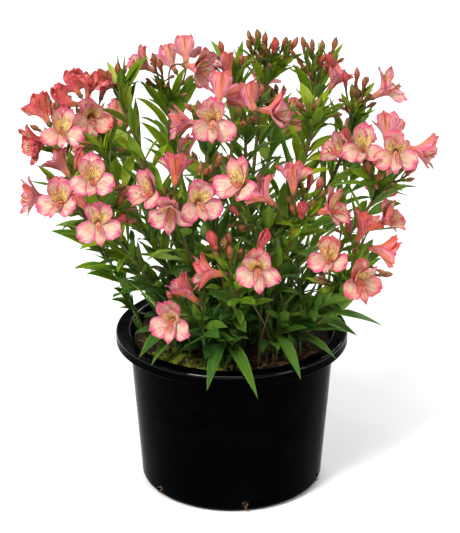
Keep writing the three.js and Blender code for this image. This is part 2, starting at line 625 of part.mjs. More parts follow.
// Clearance: a solid is set down only where its guard meets nothing of another node

const placed = [];
function boxesApart(a, b) {
  return [0, 1, 2].some((i) => a.min[i] > b.max[i] || a.max[i] < b.min[i]);
}

function isClear(guard, own) {
  const box = guard.boundingBox();
  return placed.every((other) => other.node === own || boxesApart(box, other.box)
    || guard.intersect(other.solid).isEmpty());
}

function setDown(solid, node) {
  placed.push({ solid, box: solid.boundingBox(), node });
  return solid;
}

// The first of several tries that is clear, or null
function firstClear(tries, own, make, suits = () => true) {
  for (const attempt of tries) {
    const made = make(attempt);
    if (suits(made) && made.guards.every((guard) => isClear(guard, own))) return made;
  }
  return null;
}

function joined(solids) {
  return solids.reduce((sum, solid) => sum.add(solid));
}

function numbered(name, index) {
  return `${name}_${String(index + 1).padStart(2, '0')}`;
}

const pot = setDown(makePot(), 'pot');
const plainSoil = setDown(makeSoil(), 'soil');

// Umbels first: every bloom and bud is moved along the line of sight until it is clear
const plants = [
  ...HEADS.map((head) => ({ head, joint: fromPicture(...head.tip), leaves: head.leaves })),
  ...FAR_HEADS.map((far) => ({ far, joint: new THREE.Vector3(...far.at), leaves: [] })),
];
plants.forEach((plant, index) => {
  const { head, far, joint } = plant;
  const umbel = numbered('umbel', index);
  plant.way = stemWay(joint);
  const knob = new THREE.LineCurve3(joint, along(joint, plant.way, KNOB_LENGTH));
  plant.umbel = [setDown(tube(knob, STEM_RADIUS, STEM_SIDES, 1), umbel)];
  const rooms = [];
  const hasRoom = ({ room }) => rooms.every((other) => other.intersect(room).isEmpty());
  const bloomTries = head ? head.blooms.map((row) => (shift) => pictureBloom(head, row, shift))
    : Array.from({ length: far.blooms }, (_, i) => (shift) => farBloom(joint, i, far.blooms, shift));
  const budTries = head ? head.buds.map((row) => (shift) => pictureBud(head, joint, row, shift))
    : [0, 1].map((i) => () => farBud(joint, i));
  for (const [tries, make, what] of [[bloomTries, makeBloom, 'bloom'], [budTries, makeBud, 'bud']]) {
    tries.forEach((tryAt, row) => {
      const attempt = (shift) => {
        const thing = tryAt(shift);
        return { thing, room: roomOf(thing), guards: [make(thing, joint, plant.way, GUARD)] };
      };
      const set = firstClear(NEARER_TRIES, umbel, attempt, hasRoom)
        || firstClear(NEARER_TRIES, umbel, attempt);
      if (!set) throw new Error(`${umbel} has no clear place for ${what} ${row + 1}`);
      rooms.push(set.room);
      plant.umbel.push(setDown(make(set.thing, joint, plant.way, 0), umbel));
    });
  }
});

// Stems next, each bent clear of the umbels and of the other stems
const shoots = SHOOTS.map((shoot) => {
  const joint = fromPicture(...shoot.tip);
  return { joint, way: stemWay(joint), leaves: shoot.leaves };
});
[...plants, ...shoots].forEach((plant, index) => {
  plant.name = plant.umbel ? numbered('stem', index) : numbered('shoot', index - plants.length);
  const foot = footFor(plant.joint);
  const end = along(plant.joint, plant.way, -JOINT_GAP);
  const bends = Array.from({ length: BEND_TRIES }, (_, i) => i);
  const steps = plant.umbel ? STEM_STEPS : SHOOT_STEPS;
  const set = firstClear(bends, null, (attempt) => {
    const curve = stemCurve(foot, end, plant.way, attempt);
    const above = (cut) => new THREE.CubicBezierCurve3(along(curve.v0, UP, ROOTED + 5), curve.v1, curve.v2,
      along(curve.v3, plant.way, -cut));
    const guards = [tube(above(GUARD), STEM_RADIUS + 2 * GUARD, STEM_SIDES, steps),
      tube(above(0), STEM_RADIUS, STEM_SIDES, steps)];
    return { curve, guards };
  });
  if (!set) throw new Error(`${plant.name} has no clear way up`);
  plant.curve = set.curve;
  plant.joints = plant.curve.getSpacedPoints(steps);
  plant.solids = [setDown(tube(plant.curve, STEM_RADIUS, STEM_SIDES, steps), plant.name)];
});

// Leaves last, those with a known tip before those that are drawn
[...plants, ...shoots].forEach((plant) => {
  plant.leaves.forEach((row) => {
    const set = firstClear(NEARER_TRIES, plant.name, (nearer) => {
      const leaf = aimedLeaf(plant.joints, row, nearer);
      return { leaf, guards: [makeLeaf(leaf, GUARD)] };
    });
    if (set) plant.solids.push(setDown(makeLeaf(set.leaf, 0), plant.name));
  });
});
[...plants, ...shoots].forEach((plant, index) => {
  const draw = drawsFrom(1000 + index);
  const between = ([low, high]) => low + (high - low) * draw();
  const count = plant.umbel ? STEM_LEAVES : SHOOT_LEAVES;
  const bracts = plant.umbel ? BRACTS : 0;
  const lowest = plant.umbel ? LOWEST_LEAF.stem : LOWEST_LEAF.shoot;
  const firstTurn = between([0, 2 * Math.PI]);
  for (let i = 0; i < count + bracts; i += 1) {
    const isBract = i >= count;
    const range = isBract ? BRACT_RANGE : LEAF_RANGE;
    const step = isBract ? 0 : (i + between([0.1, 0.9])) / count;
    const spring = {
      place: isBract ? BRACT_PLACE - 0.006 * (i - count) : lowest + (HIGHEST_LEAF - lowest) * step,
      angle: firstTurn + GOLDEN_TURN * i + between([-0.3, 0.3]),
      spread: between(range.spread),
      length: between(range.length),
      width: between(range.width),
      droop: between(DROOP_RANGE),
      roll: between(ROLL_RANGE),
    };
    const set = firstClear(TURN_TRIES, plant.name, (turn) => {
      const leaf = springingLeaf(plant.joints, spring, turn);
      return { leaf, guards: [makeLeaf(leaf, GUARD)] };
    });
    if (set) plant.solids.push(setDown(makeLeaf(set.leaf, 0), plant.name));
  }
});

// Each stem stands in a hole in the soil, as wide as the stem with its clearance
const soil = [...plants, ...shoots].reduce((sum, plant) => {
  const { v0, v1, v2, v3 } = plant.curve;
  const lower = new THREE.CubicBezierCurve3(along(v0, UP, -FIT), v1, v2, v3);
  return sum.subtract(tube(lower, STEM_RADIUS + 2 * FIT, STEM_SIDES, plant.joints.length - 1));
}, plainSoil);

const finishes = {
  pot: { color: 0x0d0d0e, roughness: 0.28, metalness: 0 },
  soil: { color: 0x2c2019, roughness: 1, metalness: 0 },
  stem: { color: 0x3c6a24, roughness: 0.6, metalness: 0 },
  shoot: { color: 0x36621f, roughness: 0.6, metalness: 0 },
  umbel: { color: 0xe58a93, roughness: 0.55, metalness: 0 },
};

const lily = new THREE.Group();
function addNode(name, solid) {
  const finish = finishes[name.split('_')[0]];
  const mesh = new THREE.Mesh(geometryOf(solid), new THREE.MeshStandardMaterial(finish));
  mesh.name = name;
  lily.add(mesh);
}

addNode('pot', pot);
addNode('soil', soil);
plants.forEach((plant, index) => {
  addNode(plant.name, joined(plant.solids));
  addNode(numbered('umbel', index), joined(plant.umbel));
});
shoots.forEach((shoot) => addNode(shoot.name, joined(shoot.solids)));

export default lily;
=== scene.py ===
import functools
import math

import bpy
import numpy as np
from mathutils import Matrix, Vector, noise
from mathutils.bvhtree import BVHTree


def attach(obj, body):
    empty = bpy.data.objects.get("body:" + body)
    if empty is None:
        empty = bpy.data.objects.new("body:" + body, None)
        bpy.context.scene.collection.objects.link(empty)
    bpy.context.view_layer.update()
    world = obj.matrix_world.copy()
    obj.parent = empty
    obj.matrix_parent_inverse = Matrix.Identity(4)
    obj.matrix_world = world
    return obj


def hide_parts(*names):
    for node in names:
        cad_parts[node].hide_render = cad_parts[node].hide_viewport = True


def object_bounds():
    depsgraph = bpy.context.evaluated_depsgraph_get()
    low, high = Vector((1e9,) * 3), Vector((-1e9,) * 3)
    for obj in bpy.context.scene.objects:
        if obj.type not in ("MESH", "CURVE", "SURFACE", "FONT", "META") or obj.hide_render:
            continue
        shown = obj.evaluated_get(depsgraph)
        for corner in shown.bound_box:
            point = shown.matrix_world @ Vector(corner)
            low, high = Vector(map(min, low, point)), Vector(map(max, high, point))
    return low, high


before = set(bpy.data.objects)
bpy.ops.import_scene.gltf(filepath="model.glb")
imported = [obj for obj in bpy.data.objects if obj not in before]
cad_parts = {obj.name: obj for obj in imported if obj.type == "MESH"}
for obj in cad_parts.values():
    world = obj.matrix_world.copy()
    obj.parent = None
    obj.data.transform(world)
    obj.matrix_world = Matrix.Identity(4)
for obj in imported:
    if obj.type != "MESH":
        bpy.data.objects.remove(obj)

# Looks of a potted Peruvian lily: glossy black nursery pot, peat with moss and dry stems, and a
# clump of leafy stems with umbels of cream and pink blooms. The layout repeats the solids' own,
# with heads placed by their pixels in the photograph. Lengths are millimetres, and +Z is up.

CAD_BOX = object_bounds()
MM = 0.001
UP = np.array([0.0, 0.0, 1.0])
RIGHT = np.array([1.0, 0.0, 0.0])
GOLDEN_TURN = 2.39996

# Pot and soil
RIM_RADIUS = 120
POT_HEIGHT = 167
LIP_DROP = 11.5
LIP_SHEET = 2.4
WALL_TOP_RADIUS = 106
BASE_RADIUS = 95
CORNER_RADIUS = 8
WALL = 2.2
FLOOR = 3
DRAIN_HOLES = 6
DRAIN_RADIUS = 4.5
DRAIN_HEIGHT = 9
DRAIN_TURN = 8.8
DRAIN_SLOPE = 0.25
SOIL_TOP = 154
SWELL = {"height": 2.2, "x": 0.045, "y": 0.05}
CLODS = {"height": 1.3, "x": 0.11, "y": 0.09}
FIT = 0.4
ROOTED = 11
SHALLOW = 3

# Stems, rays and leaves of the solids
JOINT_GAP = 0.3
STEM_STEPS = 4
SHOOT_STEPS = 3
STEM_LEAN = 0.0026
STEM_HANDLES = (0.36, 0.34)
RAY_HANDLES = (0.4, 0.34)
KNOB_LENGTH = 3.4
FOOT_SPREAD = 0.34
FOOT_LIMIT = 78
FOOT_SPACING = 10
FOOT_BACK = 4
FOOT_RING = 4
FOOT_STEP = 2.2
LEAF_CHANNEL = 0.18
LEAF_ARCH = 0.22
PETIOLE = 0.3

# Bloom, measured from the base of its ovary along its axis. A tepal's start and end are its lean
# from the axis in degrees, closed and what opening adds.
MIDDLE = 17
THROAT_AT = 12.6
THROAT = 4.8
SHUT_HALF = 0.76
OUTER = {"length": 22, "half": 7.6, "start": (14, 22), "end": (24, 68)}
INNER = {"length": 21.5, "half": 4.1, "start": (10, 18), "end": (16, 50)}

# The same tepals, as broad as they look where blade edges are thin. layer: how far out a blade lies.
# at_throat: its share of the width there. narrow and taper: how much and how fast its end narrows.
# shut: how much less its start and end lean in a closed bloom. role: what its colours go by.
BROAD_OUTER = {**OUTER, "length": 23.2, "half": 9.2, "layer": 0.45, "at_throat": 0.42, "narrow": 0.55,
               "taper": 2.7, "ruffle": 1.25, "shut": (-2, -56), "shut_half": SHUT_HALF, "role": 0.0}
BROAD_INNER = {**INNER, "length": 25, "half": 4.8, "layer": -0.5, "at_throat": 0.56, "narrow": 0.88,
               "taper": 1.8, "ruffle": 0.8, "shut": (-2, -50), "shut_half": 1, "role": 0.5}
BROAD_UPPER = {**BROAD_INNER, "length": 25.5, "half": 6.5, "role": 1.0}
UPPER_TURN = 31
# Turns round the axis. The two upper inner tepals stand side by side.
TEPALS = ((90, BROAD_OUTER), (150 - UPPER_TURN, BROAD_UPPER), (210, BROAD_OUTER),
          (270, BROAD_INNER), (330, BROAD_OUTER), (30 + UPPER_TURN, BROAD_UPPER))
# A claw starts CLAW_OUT from the axis and CLAW_ON along it, and is CLAW_SHARE of its tepal
CLAW_OUT = 2.3
CLAW_ON = 4.6
CLAW_HALF = 1.7
CLAW_SHARE = 0.26
THROAT_PINCH = 1.9
BREADTHS = (1.06, 1.26)
WITHERED_FROM = 0.55
LONGEST_BUD = 22
SHUT_BLOOM_LENGTH = 34

# Places along a lathed form and its radii there, a bud's as shares of its length
OVARY_OUTLINE = np.array([(-0.4, 1.55), (1.2, 2.666), (2.8, 3.1), (4.4, 2.79), (5.6, 2.232)])
ANTHER_OUTLINE = np.array([(-0.6, 0.3), (0.3, 0.6), (1.3, 0.68), (2.3, 0.58), (3.0, 0.25)])
BUD_OUTLINE = np.array([(0, 0.07), (0.05, 0.105), (0.11, 0.12), (0.17, 0.11), (0.23, 0.105), (0.31, 0.14),
                        (0.41, 0.17), (0.52, 0.185), (0.63, 0.178), (0.74, 0.15), (0.84, 0.105),
                        (0.92, 0.06), (0.975, 0.025)])

# The viewer of the photograph: degrees, millimetres and pixels, with u and v in the picture's middle
VIEW = {"elevation": 22.6, "distance": 2100, "focal": 2050, "x": -1.8, "z": 234.5, "u": 230, "v": 266.5}
VIEW_SIN = math.sin(math.radians(VIEW["elevation"]))
VIEW_COS = math.cos(math.radians(VIEW["elevation"]))
TOWARD_VIEWER = np.array([0.0, -VIEW_COS, VIEW_SIN])
VIEW_UP = np.array([0.0, VIEW_SIN, VIEW_COS])
PICTURE_HEIGHT = 533
SENSOR = 36

# Flowering stems. tip: u, v, y of the umbel's joint. Blooms: u, v, millimetres nearer than the
# joint, turn of the mouth in the picture, degrees that it faces the viewer, how far it is open,
# size. Buds: u, v, nearer, length. Leaves: place on the stem, u, v and y of the tip, width.
# age: how red and faded the blooms are. youth: how yellow-green the leaves at the head are.
HEADS = [
    {"tip": [60, 152, 10], "age": 0.8,
     "blooms": [[43, 113, -14, 120, -20, 0.6, 1], [39, 143, 8, 200, 20, 0.6, 1],
                [62, 131, 30, 60, 75, 0.95, 1]],
     "buds": [[50, 103, 14, 12], [57, 110, 4, 14]]},
    {"tip": [97, 138, 40], "age": 0.85,
     "blooms": [[67, 103, 0, 170, -30, 0.7, 0.95], [75, 88, -22, 125, -35, 0.7, 0.9],
                [89, 88, 14, 80, 10, 0.6, 0.9], [104, 87, -18, 75, -10, 0.6, 0.85],
                [91, 117, 42, 300, 70, 0.9, 1]],
     "buds": [[72, 114, 18, 12]]},
    {"tip": [120, 94, 55], "youth": 0.8, "buds": [[105, 77, 0, 14], [119, 71, 6, 13], [131, 70, -6, 14]],
     "leaves": [[0.99, 150, 57, 45, 12], [0.98, 106, 61, 75, 9]]},
    {"tip": [101, 149, -15], "youth": 0.6, "buds": [[94, 139, 2, 13], [106, 139, -6, 13]],
     "leaves": [[0.98, 124, 132, -20, 9], [0.97, 84, 160, -25, 8]]},
    {"tip": [66, 187, -35], "age": 0.3,
     "blooms": [[62, 166, -6, 125, 0, 0.35, 0.95], [36, 197, 0, 175, 15, 0.6, 1],
                [60, 201, 34, 160, 72, 1, 1]],
     "buds": [[78, 160, 10, 26], [51, 180, 16, 12], [124, 190, 10, 13]]},
    {"tip": [106, 214, -68], "age": 0.2,
     "blooms": [[92, 179, 34, 80, 75, 1, 1], [98, 223, 38, 280, 78, 1, 1]],
     "buds": [[82, 203, 14, 28], [85, 166, -6, 12], [120, 201, 8, 14], [120, 219, 14, 18]],
     "leaves": [[0.62, 60, 233, -75, 11], [0.45, 73, 269, -70, 10], [0.4, 111, 298, -85, 10]]},
    {"tip": [170, 110, 75], "age": 0.4,
     "blooms": [[144, 65, 0, 150, 20, 0.6, 0.9], [170, 62, -14, 120, -20, 0.5, 0.9],
                [186, 54, 22, 90, -25, 0.6, 0.9], [197, 68, 50, 345, 25, 0.8, 1]],
     "buds": [[154, 61, 14, 12], [161, 66, 28, 14]], "leaves": [[0.97, 146, 98, 60, 10]]},
    {"tip": [235, 88, 60], "age": 0.35, "youth": 0.7, "blooms": [[227, 68, 12, 110, 0, 0.4, 0.85]],
     "buds": [[209, 56, 2, 15], [221, 48, 12, 15], [241, 60, -10, 12]],
     "leaves": [[0.99, 210, 40, 55, 9], [0.98, 243, 40, 70, 8]]},
    {"tip": [208, 148, -30], "age": 0.35,
     "blooms": [[220, 93, -12, 80, -30, 0.6, 1], [213, 121, 36, 260, 75, 1, 1.05],
                [186, 123, 6, 180, 10, 0.6, 1]],
     "buds": [[199, 108, 4, 13]]},
    {"tip": [246, 136, 0], "age": 0.4,
     "blooms": [[250, 103, 0, 120, -25, 0.7, 1], [273, 110, 16, 0, 20, 0.7, 1]],
     "buds": [[240, 112, 24, 13], [262, 92, -14, 14]]},
    {"tip": [266, 79, 95], "youth": 0.5,
     "buds": [[249, 46, 6, 14], [258, 38, 0, 13], [266, 41, 16, 14], [274, 46, 22, 17],
              [284, 43, 4, 13], [293, 46, -6, 13]],
     "leaves": [[0.97, 240, 62, 90, 9], [0.98, 296, 66, 95, 8]]},
    {"tip": [314, 98, 75], "age": 0.4, "youth": 0.4, "blooms": [[335, 80, 14, 60, 15, 0.5, 0.95]],
     "buds": [[303, 44, -6, 13], [312, 46, 10, 13], [321, 48, -8, 14], [334, 46, 4, 14], [328, 60, 22, 18]]},
    {"tip": [314, 123, 10], "youth": 1, "buds": [[309, 112, 4, 13], [321, 111, -4, 12]],
     "leaves": [[0.985, 300, 82, 5, 13], [0.99, 353, 103, 0, 12], [0.97, 330, 88, 30, 9]]},
    {"tip": [352, 130, 45], "age": 0.25, "blooms": [[385, 90, 20, 30, 20, 0.8, 1.05]],
     "buds": [[356, 76, -6, 15], [364, 84, 6, 13], [345, 79, 14, 16], [352, 92, 24, 12]]},
    {"tip": [378, 189, -10], "age": 0.4,
     "blooms": [[340, 152, -4, 150, 30, 0.6, 0.95], [363, 148, 30, 100, 72, 0.9, 1],
                [387, 132, -20, 85, -20, 0.5, 1], [396, 152, 34, 280, 75, 1, 1],
                [420, 150, 0, 350, 15, 0.6, 1]],
     "buds": [[348, 136, 14, 17], [368, 168, 24, 14], [411, 170, 16, 15]],
     "leaves": [[0.99, 329, 187, -25, 9], [0.98, 406, 186, -15, 8]]},
    {"tip": [181, 212, -70], "age": 0.35,
     "blooms": [[150, 192, 20, 160, 45, 0.8, 1], [176, 172, -4, 85, -5, 0.5, 1],
                [171, 211, 36, 255, 40, 0.8, 1], [199, 202, 34, 340, 70, 0.95, 1]],
     "buds": [[209, 171, 4, 13], [218, 161, -4, 14], [217, 190, 12, 14]]},
    {"tip": [266, 230, -66], "age": 0.3,
     "blooms": [[239, 183, 40, 130, 60, 0.9, 1.05], [264, 196, 20, 140, 15, 0.6, 1]],
     "buds": [[235, 211, 14, 16]]},
    {"tip": [296, 228, -60], "age": 0.5,
     "blooms": [[293, 180, 4, 92, 5, 0.45, 1], [330, 209, 24, 20, 35, 0.8, 1]],
     "buds": [[302, 211, 28, 26], [309, 183, -8, 15], [319, 185, 6, 15], [280, 222, 10, 14]]},
    {"tip": [356, 262, -45], "age": 0.62,
     "blooms": [[363, 229, 12, 65, 10, 0.45, 1], [386, 220, -8, 30, 30, 0.6, 0.95],
                [381, 250, 10, 350, 5, 0.4, 1]],
     "buds": [[349, 227, 4, 15], [384, 275, 14, 13]]},
    {"tip": [345, 285, -75], "age": 0.55,
     "blooms": [[330, 259, 24, 120, 65, 0.9, 1], [359, 280, 32, 330, 60, 0.95, 1]],
     "buds": [[322, 281, 10, 14]], "leaves": [[0.55, 383, 326, -80, 10]]},
    {"tip": [238, 284, -98], "age": 0.4,
     "blooms": [[210, 273, 10, 175, 10, 0.6, 1], [258, 269, 28, 275, 70, 0.95, 1]],
     "buds": [[262, 242, 6, 28], [213, 242, 4, 20], [229, 240, -6, 14]]},
    {"tip": [200, 322, -75], "age": 0.2,
     "blooms": [[187, 292, 14, 135, 10, 0.4, 1], [172, 320, 30, 200, 65, 0.95, 1]],
     "buds": [[171, 297, -4, 12]]},
]

# Flowering stems on the far side: the joint in millimetres and the number of blooms
FAR_HEADS = [
    {"at": [-118, 112, 318], "blooms": 3},
    {"at": [-22, 142, 268], "blooms": 2},
    {"at": [48, 118, 352], "blooms": 3},
    {"at": [128, 106, 296], "blooms": 3},
]
FAR_REACH = 47
FAR_LEAN = 0.85
FAR_LIFT = 60
FAR_TURN = 35
FAR_BUD = {"reach": 24, "length": 14, "turn": 70, "apart": 130, "lean": 30}

# Leafy shoots without blooms: tip as u, v, y and the leaves with a known tip
SHOOTS = [
    {"tip": [160, 318, -62],
     "leaves": [[0.72, 139, 358, -96, 12], [0.86, 128, 282, -70, 10], [0.6, 151, 366, -92, 9]]},
    {"tip": [226, 335, -66], "leaves": [[0.8, 207, 391, -122, 13], [0.62, 258, 399, -124, 12]]},
    {"tip": [282, 326, -58], "leaves": [[0.8, 301, 380, -112, 12], [0.55, 262, 352, -98, 10]]},
    {"tip": [322, 318, -40], "leaves": [[0.7, 348, 333, -66, 11], [0.5, 336, 359, -84, 11]]},
    {"tip": [140, 158, 0], "youth": 0.9, "leaves": [[0.99, 124, 150, -6, 10], [0.97, 160, 138, 4, 10]]},
    {"tip": [205, 250, 62]},
]

# Leaves that the solids draw, and the tries among which each found its clear place
STEM_LEAVES = 4
SHOOT_LEAVES = 4
BRACTS = 2
LEAF_RANGE = {"spread": (38, 70), "length": (46, 72), "width": (9, 13)}
BRACT_RANGE = {"spread": (48, 72), "length": (30, 44), "width": (6.5, 8.5)}
DROOP_RANGE = (0.02, 0.34)
ROLL_RANGE = (-30, 30)
LOWEST_LEAF = {"stem": 0.3, "shoot": 0.35}
HIGHEST_LEAF = 0.93
BRACT_PLACE = 0.985
BRACT_STEP = 0.006
NEARER_TRIES = [0, 6, -6, 12, -12, 18, -18, 26, -26, 34, -34, 44, -44]
TURN_TRIES = [0, 25, -25, 50, -50, 80, -80, 120, -120, 160]
BEND_TRIES = 81
BEND_STEP = 9
BEND_DIRECTIONS = 8
BEND_LOWER_SHARES = (0.5, -0.6)
# A leaf is found where its tip is nearer than this to the solid
MATCHED = 0.6
SEEDS = {"leaves": 1000, "stem": 4000, "umbel": 7000, "low_shoots": 90,
         "outer_shoot": 91, "litter": 311, "moss": 77}

# What only the looks have. The clump of leaves widens by OUTLINE_SLOPE with height.
OUTLINE_FOOT = 108
OUTLINE_SLOPE = 0.62
YELLOWING = (220, 400)
SHADED = (165, 330)
MORE_STEM_LEAVES = 29
MORE_SHOOT_LEAVES = 12
MORE_BRACTS = 7
SMALL_BRACTS = 7
MORE_LEAF_RANGE = {"spread": (16, 58), "length": (40, 76), "width": (7.5, 13)}
MORE_BRACT_RANGE = {"spread": (12, 54), "length": (30, 54), "width": (6, 10.5)}
SMALL_BRACT_RANGE = {"spread": (8, 60), "length": (14, 30), "width": (3.5, 6)}
YOUNG_BRACTS = 16
YOUNG_BRACT_RANGE = {"spread": (3, 56), "length": (22, 58), "width": (3, 6.5)}
LOW_SHOOTS = 44
LOW_SHOOT_LEAVES = 11
LOW_SHOOT_HEIGHTS = (38, 150)
LOW_SHOOT_REACH = 82
LOW_LEAF_RANGE = {"spread": (15, 62), "length": (18, 44), "width": (3.6, 8.6)}
SIDE_BUD_PLACES = ((0.25, 0.45), (0.45, 0.65), (0.65, 0.85))
SIDE_BUD_SHARES = (0.8, 0.35)
# Leaves that only the looks have, aimed as the solids' own: place, u, v and y of the tip, width
AIMED_LOOKS = {
    "stem_03": [[0.985, 148, 56, 40, 11], [0.93, 132, 86, 30, 12], [0.84, 137, 108, 25, 9]],
    "stem_07": [[0.97, 153, 74, 62, 11], [0.95, 139, 82, 50, 9], [0.9, 136, 98, 40, 11],
                [0.985, 186, 67, 55, 9], [0.96, 199, 75, 50, 8], [0.93, 204, 79, 45, 13],
                [0.8, 163, 122, 30, 13], [0.74, 140, 122, 30, 10], [0.66, 146, 148, 25, 11]],
    "stem_11": [[0.97, 248, 53, 88, 8], [0.98, 295, 57, 92, 12], [0.985, 280, 43, 95, 7]],
    "stem_12": [[0.98, 292, 64, 72, 11], [0.985, 341, 58, 72, 8]],
}
# Stems whose tops have fewer leaves
AIRY_TOPS = ("stem_11", "stem_12")
AIRY_FROM = 0.82
AIRY_SHARE = 0.3
OUTER_SHOOT = {
    "foot": (-87, 2), "tip": [103, 249, -50],
    "leaves": [[0.93, 50, 231, -50, 11], [0.72, 74, 268, -45, 11], [0.62, 86, 274, -50, 9],
               [0.36, 113, 288, -40, 8], [0.3, 111, 300, -42, 9], [0.5, 137, 281, -20, 10],
               [0.08, 132, 319, 0, 8], [0.98, 120, 216, -50, 10], [0.97, 90, 226, -40, 9],
               [0.85, 131, 248, -40, 10], [0.8, 131, 297, -60, 9], [0.9, 66, 226, -40, 9]],
}
LINE_STEPS = 30
STEM_RADII = (2.5, 2.1, 1.65)
STEM_REDNESS = (0.45, 0.95)
FRESHER = 0.45
# Form of a leaf, with the ranges in which each may differ. Twists are in radians.
FULLNESS = (0.76, 1.12)
AIMED_FULLNESS = 0.95
ROOT_TWIST = (-1.6, 1.6)
TIP_TWIST = (-0.5, 0.5)
PETIOLE_HALF = 0.5
THIN_TIP = 0.08
LEAF_WAVE = (0.05, 0.15)
LEAF_FOLD = (0.3, 2.0)
LEAF_ROWS = 12
LEAF_COLUMNS = 5
TEPAL_COLUMNS = 9
CLAW_ROWS = 4
ARC_ROWS = 11
# A leaf keeps BLOOM_ROOM from a bloom, and BLOOM_SHOWS pixels from one that it is nearer than. It
# may pass the solids' box by PAST_BOX, and stays over the soil and over the rim of the pot.
BLOOM_ROOM = 17
BLOOM_SHOWS = 15
PAST_BOX = 3
OVER_SOIL = 5
OVER_POT = 6
WELL_INSIDE = 96
POT_SIDES = 192
SOIL_RINGS = 84
SOIL_SIDES = 200
# Noise on the peat: how fine it is, where it is taken and how high it stands
ROUGHNESS = ((0.09, 3.1, 2.6), (0.28, 7.7, 2.1), (0.75, 1.3, 1.0))
EDGE_SUNK = 3.5
LITTER_REACH = 99
FIBRE_REACH = 94
DRY_STEM_REACH = 62
DRY_STEM_MIDDLE = (8, -14)
CRUMBS = 900
FIBRES = 150
DRY_STEMS = 26
COIR = 9
MOSS_TUFTS = 3500
MOSS_TURNS = (208, 270)
MOSS_WIDTH = 32

# In metres: half the floor's side, and each light's place, aim, width and height, then its watts
FLOOR_HALF = 13
LIGHTS = (
    ("key", (-1.3, -1.7, 2.3), (0, 0, 0.28), 0.8, 0.8, 92),
    ("top", (-0.3, -0.7, 2.3), (0, 0, 0.2), 1.4, 0.5, 22),
    ("fill", (2.0, -1.2, 1.2), (0, 0, 0.28), 1.2, 1.2, 24),
    ("back", (0.3, 2.4, 2.2), (0, 0.4, 0.2), 2.4, 1.2, 70),
)


# Draws and directions

def draws_from(seed):
    """A repeatable stream of numbers, from 0 to 1 unless a range is given."""
    mask = 0xFFFFFFFF
    state = seed & mask

    def draw(low=0, high=1):
        nonlocal state
        state = (state + 0x6D2B79F5) & mask
        t = ((state ^ (state >> 15)) * (state | 1)) & mask
        t ^= (t + (((t ^ (t >> 7)) * (t | 61)) & mask)) & mask
        return low + (high - low) * ((t ^ (t >> 14)) / (mask + 1))

    return draw


def vec(*numbers):
    return np.array(numbers, float)


def unit(v):
    return v / np.linalg.norm(v, axis=-1, keepdims=True)


def smooth(x, low=0.0, high=1.0):
    t = np.clip((x - low) / (high - low), 0, 1)
    return t * t * (3 - 2 * t)


def turned(v, axis, degrees):
    c = math.cos(math.radians(degrees))
    s = math.sin(math.radians(degrees))
    return v * c + np.cross(axis, v) * s + axis * np.dot(axis, v) * (1 - c)


def leaning(ahead, aside, degrees):
    """A direction that leans from one toward another."""
    angle = math.radians(degrees)
    return ahead * math.cos(angle) + aside * math.sin(angle)


def round_place(radius, angle):
    return radius * math.cos(angle), radius * math.sin(angle)


def from_picture(u, v, y):
    rise = (VIEW["v"] - v) / VIEW["focal"]
    q = (rise * (VIEW["distance"] + y * VIEW_COS) - y * VIEW_SIN) / (VIEW_COS + rise * VIEW_SIN)
    depth = VIEW["distance"] + y * VIEW_COS - q * VIEW_SIN
    return vec(VIEW["x"] + (u - VIEW["u"]) / VIEW["focal"] * depth, y, VIEW["z"] + q)


def on_picture(points):
    """u, v and depth of points as the viewer sees them."""
    aside = points - vec(VIEW["x"], 0, VIEW["z"])
    depth = VIEW["distance"] - aside @ TOWARD_VIEWER
    u = VIEW["u"] + VIEW["focal"] * aside[..., 0] / depth
    v = VIEW["v"] - VIEW["focal"] * (aside @ VIEW_UP) / depth
    return np.stack([u, v, depth], -1)


def cubic(curve, t):
    a, b, c, d = curve
    t = np.asarray(t, float)[..., None]
    s = 1 - t
    return s ** 3 * a + 3 * s * s * t * b + 3 * s * t * t * c + t ** 3 * d


def spaced(curve, steps, parts=200):
    """Places at equal steps along a cubic curve."""
    t = np.linspace(0, 1, parts + 1)
    way = cubic(curve, t)
    reach = np.concatenate([[0], np.cumsum(np.linalg.norm(np.diff(way, axis=0), axis=1))])
    return cubic(curve, np.interp(np.linspace(0, reach[-1], steps + 1), reach, t))


def frames_along(points):
    """Directions of a line of points, and two sides that don't twist round it."""
    ahead = unit(np.gradient(points, axis=0))
    first = RIGHT if abs(ahead[0][0]) < 0.8 else UP
    side = np.empty_like(points)
    last = unit(first - ahead[0] * np.dot(first, ahead[0]))
    for i, way in enumerate(ahead):
        last = unit(last - way * np.dot(last, way))
        side[i] = last
    return ahead, side, np.cross(ahead, side)


# Skins

@functools.cache
def wrap_faces(rows, around):
    """Four-sided faces between closed rings."""
    i, j = np.meshgrid(np.arange(rows - 1), np.arange(around), indexing="ij")
    k = (j + 1) % around
    quads = [i * around + j, i * around + k, (i + 1) * around + k, (i + 1) * around + j]
    return np.stack(quads, -1).reshape(-1, 4)


@functools.cache
def fan_faces(rows, around):
    """Faces from the first and the last point to the rings between them."""
    j = np.arange(around)
    k = (j + 1) % around
    last = (rows - 1) * around
    foot = np.stack([np.full(around, rows * around), k, j], -1)
    head = np.stack([last + j, last + k, np.full(around, rows * around + 1)], -1)
    return np.concatenate([foot, head])


@functools.cache
def blade_ends(rows, columns):
    """The thin end faces of a blade, three-sided at its edges and four-sided between them."""
    around = 2 * columns - 2
    last = (rows - 1) * around
    three, four = [], []
    for start, way in ((0, -1), (last, 1)):
        three.append([start + x for x in (0, 1, around - 1)][::way])
        three.append([start + x for x in (columns - 2, columns - 1, columns)][::way])
        for j in range(1, columns - 2):
            four.append([start + x for x in (j, j + 1, around - j - 1, around - j)][::way])
    return np.array(three), np.array(four)


